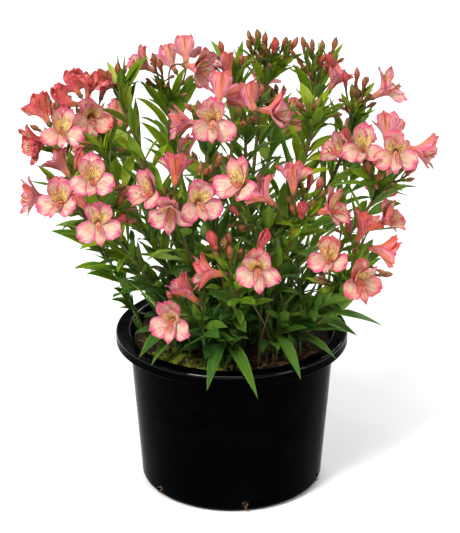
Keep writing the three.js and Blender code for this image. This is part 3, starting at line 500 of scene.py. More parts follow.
class Skin:
    """Points, faces and painted values of one piece, in millimetres, gathered before its mesh is made."""

    def __init__(self):
        self.points, self.paint, self.trait = [], [], []
        self.corners, self.sizes, self.looks = [], [], []
        self.count = 0

    def add(self, points, paint, trait, faces, look):
        points = points.reshape(-1, 3)
        self.points.append(points)
        self.paint.append(np.broadcast_to(paint, (len(points), 4)))
        self.trait.append(np.broadcast_to(trait, (len(points), 4)))
        for group in faces:
            self.corners.append((group + self.count).ravel())
            self.sizes.append(np.full(len(group), group.shape[1]))
            self.looks.append(np.full(len(group), look))
        self.count += len(points)

    def loft(self, rings, first, last, trait, look, along=None):
        """A closed skin from a first point over rings to a last one. It is painted with how far
        round and along each point is."""
        rows, around = rings.shape[:2]
        along = np.linspace(0, 1, rows) if along is None else along
        paint = np.zeros((rows * around + 2, 4))
        paint[:-2, 0] = np.tile(np.arange(around) / around, rows)
        paint[:-2, 1] = np.repeat(along, around)
        paint[-2, :2] = 0, along[0]
        paint[-1, :2] = 0, along[-1]
        paint[:, 3] = trait[3]
        points = np.concatenate([rings.reshape(-1, 3), first[None], last[None]])
        self.add(points, paint, trait, [wrap_faces(rows, around), fan_faces(rows, around)], look)

    def tube(self, points, radii, around, trait, look, ridges=0):
        ahead, side, other = frames_along(points)
        angle = np.arange(around) * math.tau / around
        swell = 1 + ridges * np.cos(3 * angle)
        flat = side[:, None] * np.cos(angle)[:, None] + other[:, None] * np.sin(angle)[:, None]
        rings = points[:, None] + flat * (np.asarray(radii)[:, None] * swell)[..., None]
        self.loft(rings, points[0] - ahead[0] * radii[0] * 0.3, points[-1] + ahead[-1] * radii[-1] * 0.3,
                  trait, look)

    def blade(self, t, centre, ahead, upper, half, across, lift, push, deep, trait, look):
        """A thin closed blade. across runs from 1 at its left edge to -1. lift raises each point
        and push moves it along. deep is the thickness there."""
        rows, columns = len(t), len(across)
        side = np.cross(upper, ahead)
        top = (centre[:, None] + side[:, None] * (across * half[:, None])[..., None]
               + upper[:, None] * lift[..., None] + ahead[:, None] * push[..., None])
        under = top - upper[:, None] * deep[..., None]
        rings = np.concatenate([top, under[:, columns - 2:0:-1]], axis=1)
        around = 2 * columns - 2
        paint = np.zeros((rows, around, 4))
        paint[..., 0] = (1 - np.concatenate([across, across[columns - 2:0:-1]])) / 2
        paint[..., 1] = t[:, None]
        paint[..., 2] = np.concatenate([[0.5], np.zeros(columns - 2), [0.5], np.ones(columns - 2)])
        paint[..., 3] = trait[3]
        three, four = blade_ends(rows, columns)
        self.add(rings, paint.reshape(-1, 4), trait, [wrap_faces(rows, around), three, four], look)

    def piece(self, name, materials, slot, *stands_for, sharp=55):
        """The mesh object, which rides on the one body."""
        corners = np.concatenate(self.corners).astype(np.int32)
        sizes = np.concatenate(self.sizes).astype(np.int32)
        points = np.concatenate(self.points)
        mesh = bpy.data.meshes.new(name)
        mesh.vertices.add(len(points))
        mesh.vertices.foreach_set("co", (points * MM).astype(np.float32).ravel())
        mesh.loops.add(len(corners))
        mesh.loops.foreach_set("vertex_index", corners)
        mesh.polygons.add(len(sizes))
        mesh.polygons.foreach_set("loop_start", np.cumsum(sizes, dtype=np.int32) - sizes)
        mesh.polygons.foreach_set("material_index", np.concatenate(self.looks).astype(np.int32))
        mesh.update(calc_edges=True)
        for layer, rows in (("paint", self.paint), ("trait", self.trait)):
            made = mesh.attributes.new(layer, "FLOAT_COLOR", "POINT")
            made.data.foreach_set("color", np.concatenate(rows).astype(np.float32).ravel())
        for material in materials:
            mesh.materials.append(material)
        mesh.shade_smooth()
        mesh.set_sharp_from_angle(angle=math.radians(sharp))
        made = bpy.data.objects.new(name, mesh)
        bpy.context.scene.collection.objects.link(made)
        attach(made, "root")
        if stands_for:
            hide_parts(*stands_for)
        return made


# Materials

def rgb(red, green, blue):
    """A colour as the eye names it, from 0 to 255, turned into light."""
    def light(x):
        x /= 255
        return x / 12.92 if x <= 0.04045 else ((x + 0.055) / 1.055) ** 2.4
    return (light(red), light(green), light(blue), 1)


class Finish:
    """A Principled material and short ways to make the nodes before it. Three numbers from 0 to
    255 are a colour, and a node's output may stand for any value."""

    def __init__(self, name, **settings):
        self.material = bpy.data.materials.new(name)
        self.material.use_nodes = True
        self.tree = self.material.node_tree
        self.shader = self.tree.nodes["Principled BSDF"]
        for key, value in settings.items():
            self.shader.inputs[key.replace("_", " ")].default_value = value

    def put(self, value, socket):
        if isinstance(value, bpy.types.NodeSocket):
            self.tree.links.new(value, socket)
        elif isinstance(value, tuple) and len(value) == 3:
            socket.default_value = rgb(*value)
        else:
            socket.default_value = value

    def node(self, kind, sockets, **settings):
        """The outputs of a new node whose sockets are filled."""
        node = self.tree.nodes.new("ShaderNode" + kind)
        for key, value in settings.items():
            setattr(node, key, value)
        for key, value in sockets.items():
            self.put(value, node.inputs[key])
        return node.outputs

    def attribute(self, name):
        """The red, green, blue and alpha of a painted layer."""
        layer = self.node("Attribute", {}, attribute_name=name)
        return [*self.node("SeparateColor", {0: layer["Color"]}), layer["Alpha"]]

    def math(self, operation, a, b=0.0, clamp=False):
        return self.node("Math", {0: a, 1: b}, operation=operation, use_clamp=clamp)[0]

    def times(self, *values):
        return functools.reduce(lambda a, b: self.math("MULTIPLY", a, b), values)

    def plus(self, a, b):
        return self.math("ADD", a, b)

    def off_middle(self, across):
        return self.math("ABSOLUTE", self.math("SUBTRACT", across, 0.5))

    def waves(self, value, rate):
        return self.math("SINE", self.times(value, rate))

    def rise(self, value, low, high, start=0.0, end=1.0):
        """A smooth step from start at low to end at high."""
        sockets = dict(enumerate((value, low, high, start, end)))
        return self.node("MapRange", sockets, interpolation_type="SMOOTHSTEP")[0]

    def mix(self, share, a, b):
        return self.node("Mix", {0: share, 6: a, 7: b}, data_type="RGBA")[2]

    def over(self, colour, *coats):
        """A colour with coats on it, each with its share and its colour."""
        for share, coat in coats:
            colour = self.mix(share, colour, coat)
        return colour

    def place(self):
        return self.node("TexCoord", {})["Object"]

    def field(self, *pairs):
        """A place made of three values, each with its scale."""
        return self.node("CombineXYZ", {i: self.times(*pair) for i, pair in enumerate(pairs)})[0]

    def noise(self, scale, detail=3.0, vector=None):
        sockets = {"Vector": vector or self.place(), "Scale": scale, "Detail": detail}
        return self.node("TexNoise", sockets)[0]

    def cells(self, scale, vector=None):
        """How far the middle of the nearest cell is."""
        return self.node("TexVoronoi", {"Vector": vector or self.place(), "Scale": scale})[0]

    def paint(self, colour):
        self.put(colour, self.shader.inputs["Base Color"])

    def bump(self, height, distance, strength=1.0):
        sockets = {"Strength": strength, "Distance": distance, "Height": height}
        self.put(self.node("Bump", sockets)[0], self.shader.inputs["Normal"])


def pot_plastic(name, gloss, smoothest):
    f = Finish(name, Roughness=0.2, Specular_IOR_Level=gloss)
    haze = f.noise(38, 5)
    black = f.mix(f.rise(haze, 0.42, 0.7), (1, 1, 2), (3, 3, 4))
    dust = f.rise(f.noise(260, 2), 0.72, 0.88, 0, 0.16)
    f.paint(f.mix(dust, black, (22, 21, 19)))
    f.put(f.rise(haze, 0.3, 0.75, smoothest, smoothest + 0.14), f.shader.inputs["Roughness"])
    f.bump(f.noise(55, 2), 0.0006, 0.2)
    return f.material


def peat():
    f = Finish("peat", Roughness=0.95, Specular_IOR_Level=0.2)
    lumps = f.cells(420)
    fine = f.noise(900, 3)
    dark = f.mix(f.rise(f.noise(45, 4), 0.35, 0.65), (16, 12, 9), (44, 32, 22))
    f.paint(f.over(dark,
                   (f.rise(fine, 0.45, 0.72, 0, 0.7), (76, 56, 38)),
                   (f.rise(f.noise(260, 2), 0.6, 0.72, 0, 0.7), (138, 108, 72)),
                   (f.rise(lumps, 0.02, 0.3, 0.5, 0), (104, 78, 52))))
    f.bump(f.plus(fine, lumps), 0.0012, 0.9)
    return f.material


def fibre():
    f = Finish("dry_fibre", Roughness=0.85)
    chance = f.attribute("paint")[3]
    grain = f.noise(700, 3)
    straw = f.mix(chance, (74, 50, 33), (146, 108, 66))
    f.paint(f.mix(f.rise(grain, 0.4, 0.7, 0, 0.6), straw, (50, 33, 23)))
    f.bump(grain, 0.0004, 0.6)
    return f.material


def moss():
    f = Finish("moss", Roughness=0.8)
    _, along, _, chance = f.attribute("paint")
    green = f.mix(chance, (92, 122, 22), (166, 182, 44))
    green = f.mix(f.rise(along, 0.2, 1), f.mix(0.6, green, (44, 36, 14)), green)
    f.paint(f.mix(f.rise(f.noise(300, 3), 0.5, 0.7, 0, 0.6), green, (112, 86, 34)))
    return f.material


def leaf():
    f = Finish("leaf", Specular_IOR_Level=0.2, Subsurface_Weight=0.3, Subsurface_Scale=0.0014,
               Subsurface_Radius=(0.6, 1.0, 0.2))
    across, along, side, chance = f.attribute("paint")
    youth, painted_lit_share, other, _ = f.attribute("trait")
    edge = f.off_middle(across)
    back = f.math("GREATER_THAN", side, 0.51)
    patches = f.noise(70, 3)
    veins = f.waves(across, 42.0)
    # chance and other are random draws scaled by the painted lit share. So the greens they pick are partly
    # random tone and partly painted shade on low and inner leaves.
    green = f.over(f.mix(chance, (38, 74, 10), (136, 162, 14)),
                   (f.rise(patches, 0.35, 0.68), f.mix(other, (24, 76, 34), (118, 150, 10))),
                   (youth, f.mix(chance, (98, 124, 4), (156, 158, 12))))
    below = f.mix(0.55, green, f.mix(other, (38, 92, 44), (122, 156, 28)))
    dry_tip = f.times(f.rise(along, 0.86, 1), f.rise(f.noise(30, 1), 0.56, 0.72))
    f.paint(f.over(f.mix(back, green, below),
                   (f.rise(veins, -0.4, 0.9, 0, 0.3), f.mix(other, (62, 108, 34), (144, 172, 40))),
                   (f.rise(edge, 0.0, 0.05, 0.4, 0), (128, 160, 44)),
                   (dry_tip, (134, 96, 48)),
                   (f.rise(edge, 0.46, 0.5, 0, 0.3), (112, 136, 40)),
                   # Painted shade: dark blue-green over leaves low and deep inside the clump.
                   (f.rise(painted_lit_share, 0.25, 0.8, 0.42, 0), (28, 76, 42))))
    dull = (0.62, 0.62, 0.62, 1)
    f.put(f.mix(back, f.rise(patches, 0.3, 0.7, 0.3, 0.48), dull), f.shader.inputs["Roughness"])
    f.bump(f.plus(veins, f.times(f.noise(500, 2), 1.2)), 0.00025, 0.6)
    return f.material


def stem():
    f = Finish("stem", Roughness=0.45, Specular_IOR_Level=0.35)
    across, along, _, _ = f.attribute("paint")
    red = f.attribute("trait")[0]
    grain = f.noise(240, 3)
    green = f.mix(f.rise(grain, 0.35, 0.7), (54, 82, 34), (98, 122, 56))
    brown = f.mix(f.rise(grain, 0.35, 0.7), (84, 54, 42), (122, 84, 50))
    share = f.times(f.rise(f.plus(along, f.times(grain, 0.5)), 0.6, 1.25), red)
    f.paint(f.mix(share, green, brown))
    f.bump(f.waves(across, 75.0), 0.0002, 0.4)
    return f.material


def petal():
    """Cream with pink edges and veins before, coral behind, and redder with age. kind is 0 for an
    outer tepal, 0.5 for the lowest inner one and 1 for the upper ones, which carry the yellow mark."""
    f = Finish("tepal", Roughness=0.48, Specular_IOR_Level=0.25, Subsurface_Weight=0.35,
               Subsurface_Scale=0.0012, Subsurface_Radius=(1.0, 0.75, 0.65))
    across, along, side, chance = f.attribute("paint")
    kind, age, other, _ = f.attribute("trait")
    middle = f.off_middle(across)
    edge = f.times(middle, 2.0)
    shifted = f.plus(f.times(across, 7.5), f.times(chance, 40.0))
    rays = f.noise(2.0, 3, f.field((shifted,), (along, 2.0), (other, 9.0)))
    lines = f.noise(1.0, 2, f.field((across, 20.0), (along, 2.5), (other, 20.0)))
    ragged = f.times(f.math("SUBTRACT", rays, 0.5), 1.2)
    ragged_edge = f.plus(edge, ragged)
    fading = f.rise(age, 0.4, 0.62)
    old = f.rise(age, 0.5, 1)

    cream = f.mix(f.rise(f.noise(120, 2), 0.3, 0.7), (208, 194, 164), (199, 167, 139))
    cream = f.mix(f.rise(age, 0.3, 1, 0, 0.75), cream, (220, 140, 120))
    pink = f.mix(old, f.mix(fading, (208, 92, 130), (214, 88, 94)), (194, 68, 82))
    reach = f.plus(f.math("MAXIMUM", edge, f.rise(along, 0.55, 1.0)), ragged)
    vein = f.times(f.rise(lines, 0.5, 0.6, 0, 0.6), f.rise(along, 0.3, 0.6))
    upper = f.rise(kind, 0.7, 0.9)
    mark = f.times(f.rise(along, 0.26, 0.4), f.rise(along, 0.46, 0.76, 1, 0),
                   f.rise(ragged_edge, 0.6, 1.2, 1, 0))
    dashes = f.cells(1.0, f.field((across, 17.0), (along, 9.5), (chance, 30.0)))
    dashed = f.times(f.rise(along, 0.26, 0.4), f.rise(along, 0.6, 0.84, 1, 0), f.rise(edge, 0.7, 1, 1, 0))
    on_inner = f.math("ADD", upper, f.times(f.rise(kind, 0.2, 0.4), 0.2), True)
    face = f.over(f.mix(f.rise(reach, 0.42, 1.05), cream, pink),
                  (f.rise(rays, 0.55, 0.7, 0, 0.42), f.mix(fading, (214, 84, 124), (214, 84, 88))),
                  (vein, f.mix(fading, (226, 100, 130), (208, 74, 80))),
                  # Gold at the foot of each face: the tepals' own gold, made light as painted light that
                  # fills the shaded throat.
                  (f.rise(along, 0.2, 0.42, 0.8, 0), (232, 180, 104)),
                  (f.times(mark, f.times(upper, 0.92)), (234, 206, 118)),
                  (f.times(f.rise(dashes, 0.3, 0.52, 0.9, 0), dashed, on_inner), (146, 80, 30)))

    coral = f.over(f.mix(chance, (230, 122, 88), (232, 156, 134)),
                   (fading, (238, 118, 72)), (old, (196, 72, 66)))
    rear_edge = f.over(f.mix(chance, (232, 130, 150), (236, 166, 180)),
                       (f.times(fading, 0.6), (234, 110, 100)), (old, (202, 72, 92)))
    rib = f.times(f.rise(middle, 0.01, 0.08, 0.75, 0), f.rise(along, 0.4, 0.7))
    rear = f.over(f.mix(f.rise(ragged_edge, 0.15, 0.8), coral, rear_edge),
                  (f.rise(lines, 0.48, 0.6, 0, 0.75), f.mix(age, (204, 78, 62), (158, 52, 50))),
                  (f.times(rib, f.rise(kind, 0.2, 0.4, 1, 0.3)), (126, 76, 44)),
                  (f.rise(along, 0.06, 0.4, 0.8, 0), f.mix(chance, (222, 112, 58), (214, 128, 88))))

    # Dark red-brown patches in noise, more with age: painted shade of the creases in aged tepals.
    painted_crease_shade = f.times(f.rise(f.noise(170, 3), 0.48, 0.6), f.rise(age, 0.4, 1, 0, 0.55))
    crimson = f.times(f.rise(along, 0.82, 1.0), f.rise(kind, 0.2, 0.4, 0.75, 0.8))
    deep_pink = f.mix(fading, (204, 44, 102), (208, 46, 66))
    rim = f.rise(f.plus(edge, f.times(ragged, 0.5)), 0.74, 1.0, 0, 0.8)
    point = f.times(f.rise(along, 0.95, 0.985), f.rise(middle, 0.04, 0.09, 1, 0))
    f.paint(f.over(f.mix(f.math("GREATER_THAN", side, 0.51), face, rear),
                   (painted_crease_shade, (142, 48, 48)),
                   (f.times(crimson, f.rise(rays, 0.35, 0.6, 0.4, 1)), deep_pink),
                   (f.times(rim, f.rise(along, 0.3, 0.6)), deep_pink),
                   (f.times(point, f.rise(kind, 0.2, 0.4, 0.9, 0)), (84, 60, 32))))
    f.bump(f.plus(f.waves(across, 90.0), f.times(rays, 5.0)), 0.0003, 0.7)
    return f.material


def bud():
    f = Finish("bud", Roughness=0.42, Specular_IOR_Level=0.35, Subsurface_Weight=0.08,
               Subsurface_Scale=0.001)
    around, along, _, chance = f.attribute("paint")
    red = f.attribute("trait")[0]
    seams = f.math("ABSOLUTE", f.waves(around, 3 * math.pi))
    veins = f.waves(around, 22 * math.pi)
    bronze = f.mix(chance, (108, 100, 34), (156, 82, 46))
    crimson = f.mix(chance, (170, 32, 50), (190, 66, 64))
    f.paint(f.over(f.mix(red, bronze, crimson),
                   (f.rise(seams, 0.3, 0.9, 0, 0.75), f.mix(red, (98, 100, 34), (178, 92, 74))),
                   (f.rise(veins, 0.1, 0.9, 0, 0.55), f.mix(red, (112, 48, 38), (140, 22, 40))),
                   (f.rise(f.noise(330, 3), 0.42, 0.7, 0, 0.4), (142, 50, 48)),
                   (f.rise(seams, 0.0, 0.2, 0.7, 0), (74, 34, 26)),
                   (f.rise(along, 0.06, 0.26, 1, 0), (74, 74, 28)),
                   (f.rise(along, 0.8, 0.96, 0, 0.9), (76, 44, 30))))
    f.bump(seams, 0.001, 0.6)
    return f.material


def ovary():
    f = Finish("ovary", Roughness=0.45, Specular_IOR_Level=0.35)
    along = f.attribute("paint")[1]
    grain = f.noise(260, 3)
    colour = f.mix(f.rise(grain, 0.4, 0.68), (78, 78, 34), (112, 62, 40))
    f.paint(f.mix(f.rise(along, 0.6, 1, 0, 0.6), colour, (164, 84, 44)))
    f.bump(grain, 0.0004, 0.4)
    return f.material


def filament():
    f = Finish("filament", Roughness=0.5, Subsurface_Weight=0.2, Subsurface_Scale=0.001)
    along = f.attribute("paint")[1]
    f.paint(f.mix(f.rise(along, 0.3, 0.9), (240, 176, 140), (226, 92, 92)))
    return f.material


def anther():
    f = Finish("anther", Roughness=0.8)
    grain = f.noise(1500, 2)
    f.paint(f.mix(f.rise(grain, 0.4, 0.6), (120, 96, 48), (168, 146, 84)))
    f.bump(grain, 0.0004, 0.6)
    return f.material


PLASTIC = pot_plastic("moulded_black_plastic", 0.0055, 0.1)
LIP = pot_plastic("polished_lip", 0.2, 0.04)
PEAT, FIBRE, MOSS = peat(), fibre(), moss()
STEM_LOOKS = [stem(), leaf()]
HEAD_LOOKS = [STEM_LOOKS[0], petal(), bud(), ovary(), filament(), anther(), STEM_LOOKS[1]]
ON_STEM, ON_LEAF = 0, 1
AS_CRUMB, AS_FIBRE = 0, 1
AS_STEM, AS_PETAL, AS_BUD, AS_OVARY, AS_FILAMENT, AS_ANTHER, AS_LEAF = range(7)


# Leaves

def rolled(upper, ahead, angles):
    """Upper directions turned round the line that they stand on."""
    return upper * np.cos(angles)[:, None] + np.cross(upper, ahead) * np.sin(angles)[:, None]


def leaf_share(t, fullness):
    """Share of its half width along a leaf. A fuller one is widest nearer its tip."""
    return np.sin(math.pi * t ** fullness) ** 1.05 * (0.25 + 0.75 * smooth(t, 0, PETIOLE))


def outline_reach(height):
    """How far from the middle the clump of leaves reaches at a height."""
    return OUTLINE_FOOT + OUTLINE_SLOPE * (height - POT_HEIGHT)


def add_leaf(skin, made, draw, youth, look):
    """A channelled blade with waved edges, whose stalk is twisted at its root."""
    t = (1 - np.cos(math.pi * np.linspace(0.001, 0.999, LEAF_ROWS))) / 2
    s = 1 - t
    root, bend, tip = made["root"], made["bend"], made["tip"]
    centre = (s * s)[:, None] * root + (2 * s * t)[:, None] * bend + (t * t)[:, None] * tip
    ahead = unit(s[:, None] * (bend - root) + t[:, None] * (tip - bend))
    upper = unit(made["upper"] - ahead * (ahead @ made["upper"])[:, None])
    twist = draw(*ROOT_TWIST) * smooth(t, 0.22, 0.0) + draw(*TIP_TWIST) * t
    share = leaf_share(t, made.get("fullness") or draw(*FULLNESS))
    half = made["width"] / 2 * share + PETIOLE_HALF * (1 - t) + THIN_TIP
    across = np.linspace(1, -1, LEAF_COLUMNS)
    rim = across ** 2
    wave = draw(*LEAF_WAVE) * np.sin(t[:, None] * draw(7, 15) + draw(0, 6) + 1.7 * across)
    fold = LEAF_CHANNEL * draw(*LEAF_FOLD)
    rib = np.exp(-(across / 0.2) ** 2)
    lift = half[:, None] * (fold * rim + wave * rim - 0.07 * rib)
    deep = (0.14 + 0.3 * (1 - rim) + 0.35 * rib) * (0.45 + 0.55 * smooth(half, 0, 3))[:, None]
    outward = math.hypot(tip[0], tip[1]) / outline_reach(tip[2])
    # painted_lit_share is low for leaves low and deep inside the clump, where shade falls. The leaf material
    # paints such leaves darker and bluer with it: painted shade.
    painted_lit_share = (0.35 + 0.65 * smooth(tip[2], *SHADED)) * (0.6 + 0.4 * smooth(outward, 0.2, 0.7))
    trait = (np.clip(youth + draw(-0.12, 0.12), 0, 1), painted_lit_share, draw() * painted_lit_share, draw() * painted_lit_share)
    skin.blade(t, centre, ahead, rolled(upper, ahead, twist), half, across, lift, np.zeros_like(lift),
               deep, trait, look)


# Blooms

def facing(turn, face):
    return unit(leaning(leaning(RIGHT, VIEW_UP, turn), TOWARD_VIEWER, face))


def arc_place(kind, opened, t, start_more=0.0, end_more=0.0):
    """How far out and on a tepal is at t along its free part, and its lean from the axis."""
    start = math.radians(kind["start"][0] + kind["start"][1] * opened + start_more)
    end = math.radians(kind["end"][0] + kind["end"][1] * opened + end_more)
    bend = (end - start) / kind["length"]
    angle = start + (end - start) * t
    out = THROAT - 0.5 + (math.cos(start) - np.cos(angle)) / bend
    on = THROAT_AT + (np.sin(angle) - math.sin(start)) / bend
    return out, on, angle


def bloom_frame(bloom):
    axis = bloom["axis"]
    reference = vec(0, 1, 0) if abs(axis[2]) > 0.96 else UP
    up = unit(reference - axis * np.dot(reference, axis))
    return np.cross(up, axis), up


def add_tepal(skin, bloom, turn, kind, trait, draw):
    """A claw from the ovary to the throat and a free blade, with a notch at an outer one's end."""
    size, axis, shut = bloom["size"], bloom["axis"], bloom["shut"]
    is_outer = kind is BROAD_OUTER
    right, up = bloom_frame(bloom)
    angle = math.radians(turn + draw(-9, 9))
    radial = right * math.cos(angle) + up * math.sin(angle)
    more = kind["shut"]
    if not shut:
        over = max(0, math.sin(angle)) * max(0, -axis[2])
        more = (draw(-5, 4) + 10 * over, draw(-26, 16) - 5 * math.sin(angle) + 40 * over)

    arc_t = np.linspace(0, 1, ARC_ROWS)
    out, on, lean = arc_place(kind, bloom["open"], arc_t, *more)
    claw = np.linspace(0, 1, CLAW_ROWS, endpoint=False)
    claw_out = CLAW_OUT + (out[0] - CLAW_OUT) * claw ** 0.8
    claw_on = CLAW_ON + (on[0] - CLAW_ON) * claw
    line = np.stack([np.concatenate([claw_out, out]), np.concatenate([claw_on, on])], -1)
    pinch = THROAT_PINCH * (0.35 if shut else 1)
    line[:, 0] += (kind["layer"] - pinch) * smooth(line[:, 1], CLAW_ON, THROAT_AT)
    line[CLAW_ROWS:, 0] += pinch * smooth(arc_t, 0, 0.6)
    lean = np.concatenate([np.full(CLAW_ROWS, lean[0]), lean])
    centre = bloom["base"] + size * (line[:, :1] * radial + line[:, 1:] * axis)
    ahead = np.sin(lean)[:, None] * radial + np.cos(lean)[:, None] * axis
    upper = np.sin(lean)[:, None] * axis - np.cos(lean)[:, None] * radial
    t = np.concatenate([claw * CLAW_SHARE, CLAW_SHARE + (1 - CLAW_SHARE) * arc_t])
    free = np.concatenate([np.zeros(CLAW_ROWS), arc_t])
    upper = rolled(upper, ahead, draw(-0.65, 0.65) * free)

    widest = kind["half"] * (kind["shut_half"] if shut else 1) * bloom["breadth"]
    at_throat = kind["at_throat"]
    share = at_throat + (1 - at_throat) * np.sin(math.pi / 2 * np.clip(free / 0.64, 0, 1))
    share = share * (1 - kind["narrow"] * np.clip((free - 0.6) / 0.4, 0, 1) ** kind["taper"])
    half = widest * share * size
    half[:CLAW_ROWS] = size * (CLAW_HALF + (at_throat * widest - CLAW_HALF) * smooth(claw, -0.2, 1))

    across = np.linspace(1, -1, TEPAL_COLUMNS)
    rim = across ** 2
    wraps = np.clip(half / size * np.cos(lean) / (2 * line[:, 0]), 0.1, 0.6) * draw(0.75, 1.1)
    phase = draw(0, 6)
    free = free[:, None]
    ripple = np.sin(free * draw(6, 10) + phase + 2.2 * across)
    ripple += 0.5 * np.sin(free * 17 + 2 * phase - 4 * across)
    withered = max(0, trait[1] - WITHERED_FROM)
    ruffle = kind["ruffle"] * draw(0.6, 1.5) * (0.3 if shut else 1) * (1 + 2.2 * withered)
    groove = np.exp(-(across / 0.14) ** 2)
    lift = half[:, None] * wraps[:, None] * rim
    lift += size * (ruffle * rim * ripple * free ** 1.2 - 0.22 * groove * (t[:, None] > 0.1))
    if withered and not shut:
        crumple = [[noise.noise(Vector((2.6 * a, 5 * b, 9 * phase))) for a in across] for b in free[:, 0]]
        lift += 14 * withered * size * np.array(crumple) * free
    end = free ** 5
    push = -size * end * 1.2 * np.abs(across)
    if is_outer:
        push = -size * end * (3.2 * across ** 4 + draw(0.6, 3.2) * np.exp(-(across / 0.2) ** 2))
        push += size * end * (0.25 + 3 * withered) * np.sin(9 * across + phase)
    deep = size * (0.16 + 0.22 * (1 - rim) + 0.16 * groove) * (1 - 0.5 * end)
    skin.blade(t, centre, ahead, upper, half, across, lift, push, deep, trait, AS_PETAL)


def curve_of(joint, way, base, axis):
    """The line of a ray from the stem's joint to what it carries."""
    start = joint + way * KNOB_LENGTH * 0.5
    reach = np.linalg.norm(base - start)
    toward = unit(base - start)
    first = start + (way * 0.25 + toward * 0.75) * reach * RAY_HANDLES[0]
    return start, first, base - axis * reach * RAY_HANDLES[1], base


def add_ray(skin, joint, way, thing, radius, draw):
    points = spaced(curve_of(joint, way, thing["base"], thing["axis"]), 11)
    radii = radius * (1 - 0.18 * np.sin(np.linspace(0, math.pi, 12)))
    radii[-1] *= 1.25
    skin.tube(points, radii, 7, (1, 0, 0, draw()), AS_STEM)


def add_bloom(skin, joint, way, bloom, age, draw):
    size, axis, shut = bloom["size"], bloom["axis"], bloom.get("shut", False)
    chance = draw()
    # In a faded head, the widest blooms opened last
    age *= 1 - FRESHER * smooth(bloom["open"], 0.75, 0.95) * smooth(age, 0.65, 0.8)
    bloom = {**bloom, "shut": shut, "breadth": 1.0 if shut else draw(*BREADTHS)}
    for turn, kind in TEPALS:
        own = np.clip(age + draw(-0.14, 0.14), 0, 1)
        add_tepal(skin, bloom, turn, kind, (kind["role"], own, draw(), chance), draw)
    on, swell = OVARY_OUTLINE.T * size
    skin.tube(bloom["base"] + axis * on[:, None], swell, 12, (0, 0, 0, draw()), AS_OVARY, 0.07)
    if not shut:
        add_stamens(skin, bloom, draw)
    add_ray(skin, joint, way, bloom, 1.05, draw)
    for places, share in zip(SIDE_BUD_PLACES, SIDE_BUD_SHARES):
        if draw() < share:
            add_side_bud(skin, joint, way, bloom, draw, places)


def add_stamens(skin, bloom, draw):
    """Six filaments that lie along the lower side of the throat and turn up at their ends."""
    size, opened = bloom["size"], bloom["open"]
    right, up = bloom_frame(bloom)

    def bloom_at(on, aside):
        return bloom["base"] + size * (bloom["axis"] * on + aside)

    for i in range(6):
        spread = leaning(right, up, 60 * i + 30)
        reach = draw(22, 28) + 3 * opened
        lower = up * (-draw(1.5, 4.2) * (0.5 + opened))
        curve = (bloom_at(8, spread), bloom_at(14, spread * 1.4 + lower * 0.3),
                 bloom_at(reach - 5, spread * 2 + lower * 1.5), bloom_at(reach, spread * 2.8 + lower * 0.9))
        points = spaced(curve, 8)
        skin.tube(points, np.linspace(0.9, 0.32, 9) * size, 6, (0, 0, 0, draw()), AS_FILAMENT)
        on, radii = ANTHER_OUTLINE.T * size
        pod = points[-1] + unit(points[-1] - points[-2]) * on[:, None]
        skin.tube(pod, radii, 7, (0, 0, 0, draw()), AS_ANTHER)


def add_bud(skin, thing, draw):
    """A small ovary under a pointed bud of three overlapping tepals."""
    axis, length = thing["axis"], thing["length"] * draw(1.05, 1.35)
    t, widths = BUD_OUTLINE.T
    bow = np.sin(t * math.pi)[:, None] * unit(np.cross(axis, UP) + 0.01 * RIGHT) * length * 0.06
    points = thing["base"] + axis * (t * length)[:, None] + bow * draw(-1.6, 1.6)
    red = 0.9 * smooth(thing["length"], 13.5, 16) + 0.5 * draw() ** 2
    skin.tube(points, widths * length * draw(0.92, 1.2), 12, (red, 0, 0, draw()), AS_BUD, 0.09)


def add_side_bud(skin, joint, way, thing, draw, places):
    """A smaller, later bud on a stalk that forks from the ray, with two small leaves at the fork."""
    curve = curve_of(joint, way, thing["base"], thing["axis"])
    place = draw(*places)
    fork = cubic(curve, place)
    ahead = unit(cubic(curve, place + 0.05) - fork)
    aside = turned(unit(np.cross(ahead, RIGHT)), ahead, draw(0, 360))
    axis = unit(ahead + aside * draw(0.45, 1.0))
    away = unit(ahead + aside * 0.9)
    reach, length = draw(9, 17), draw(8, 13)
    base = fork + away * reach * 0.5 + axis * reach * 0.5
    if not shows_clear(base + axis * length):
        return
    stalk = (fork, fork + away * reach * 0.4, base - axis * reach * 0.3, base)
    skin.tube(spaced(stalk, 6), np.full(7, 0.85), 6, (1, 0, 0, draw()), AS_STEM)
    add_bud(skin, {"base": base, "axis": axis, "length": length}, draw)
    for leaf_turn in (-50, 120):
        spread = draw(20, 50)
        leafward = leaning(ahead, turned(aside, ahead, leaf_turn + draw(-40, 40)), spread)
        reach = draw(14, 28)
        made = {"root": fork, "bend": fork + leafward * reach * 0.5, "tip": fork + leafward * reach,
                "upper": turned(ahead, leafward, draw(-30, 30)), "width": draw(3.5, 6.5)}
        if is_free(made):
            add_leaf(skin, made, draw, draw(0.5, 1), AS_LEAF)


# Layout: the places of the solids, found again among the tries that made them

SURFACES = {}
for node_name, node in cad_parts.items():
    vertices = [v.co.copy() for v in node.data.vertices]
    SURFACES[node_name] = BVHTree.FromPolygons(vertices, [tuple(p.vertices) for p in node.data.polygons])


def gap(node_name, point):
    """Millimetres from a point to a solid's surface."""
    return SURFACES[node_name].find_nearest(Vector(point * MM))[3] / MM


def stem_way(joint):
    return unit(vec(joint[0], joint[1], 0) * STEM_LEAN + UP)


def soil_height(x, y):
    swell = SWELL["height"] * math.sin(x * SWELL["x"] + 1) * math.cos(y * SWELL["y"])
    return SOIL_TOP + swell + CLODS["height"] * math.sin(x * CLODS["x"] + y * CLODS["y"])


def in_soil(x, y, depth):
    return vec(x, y, soil_height(x, y) - depth)


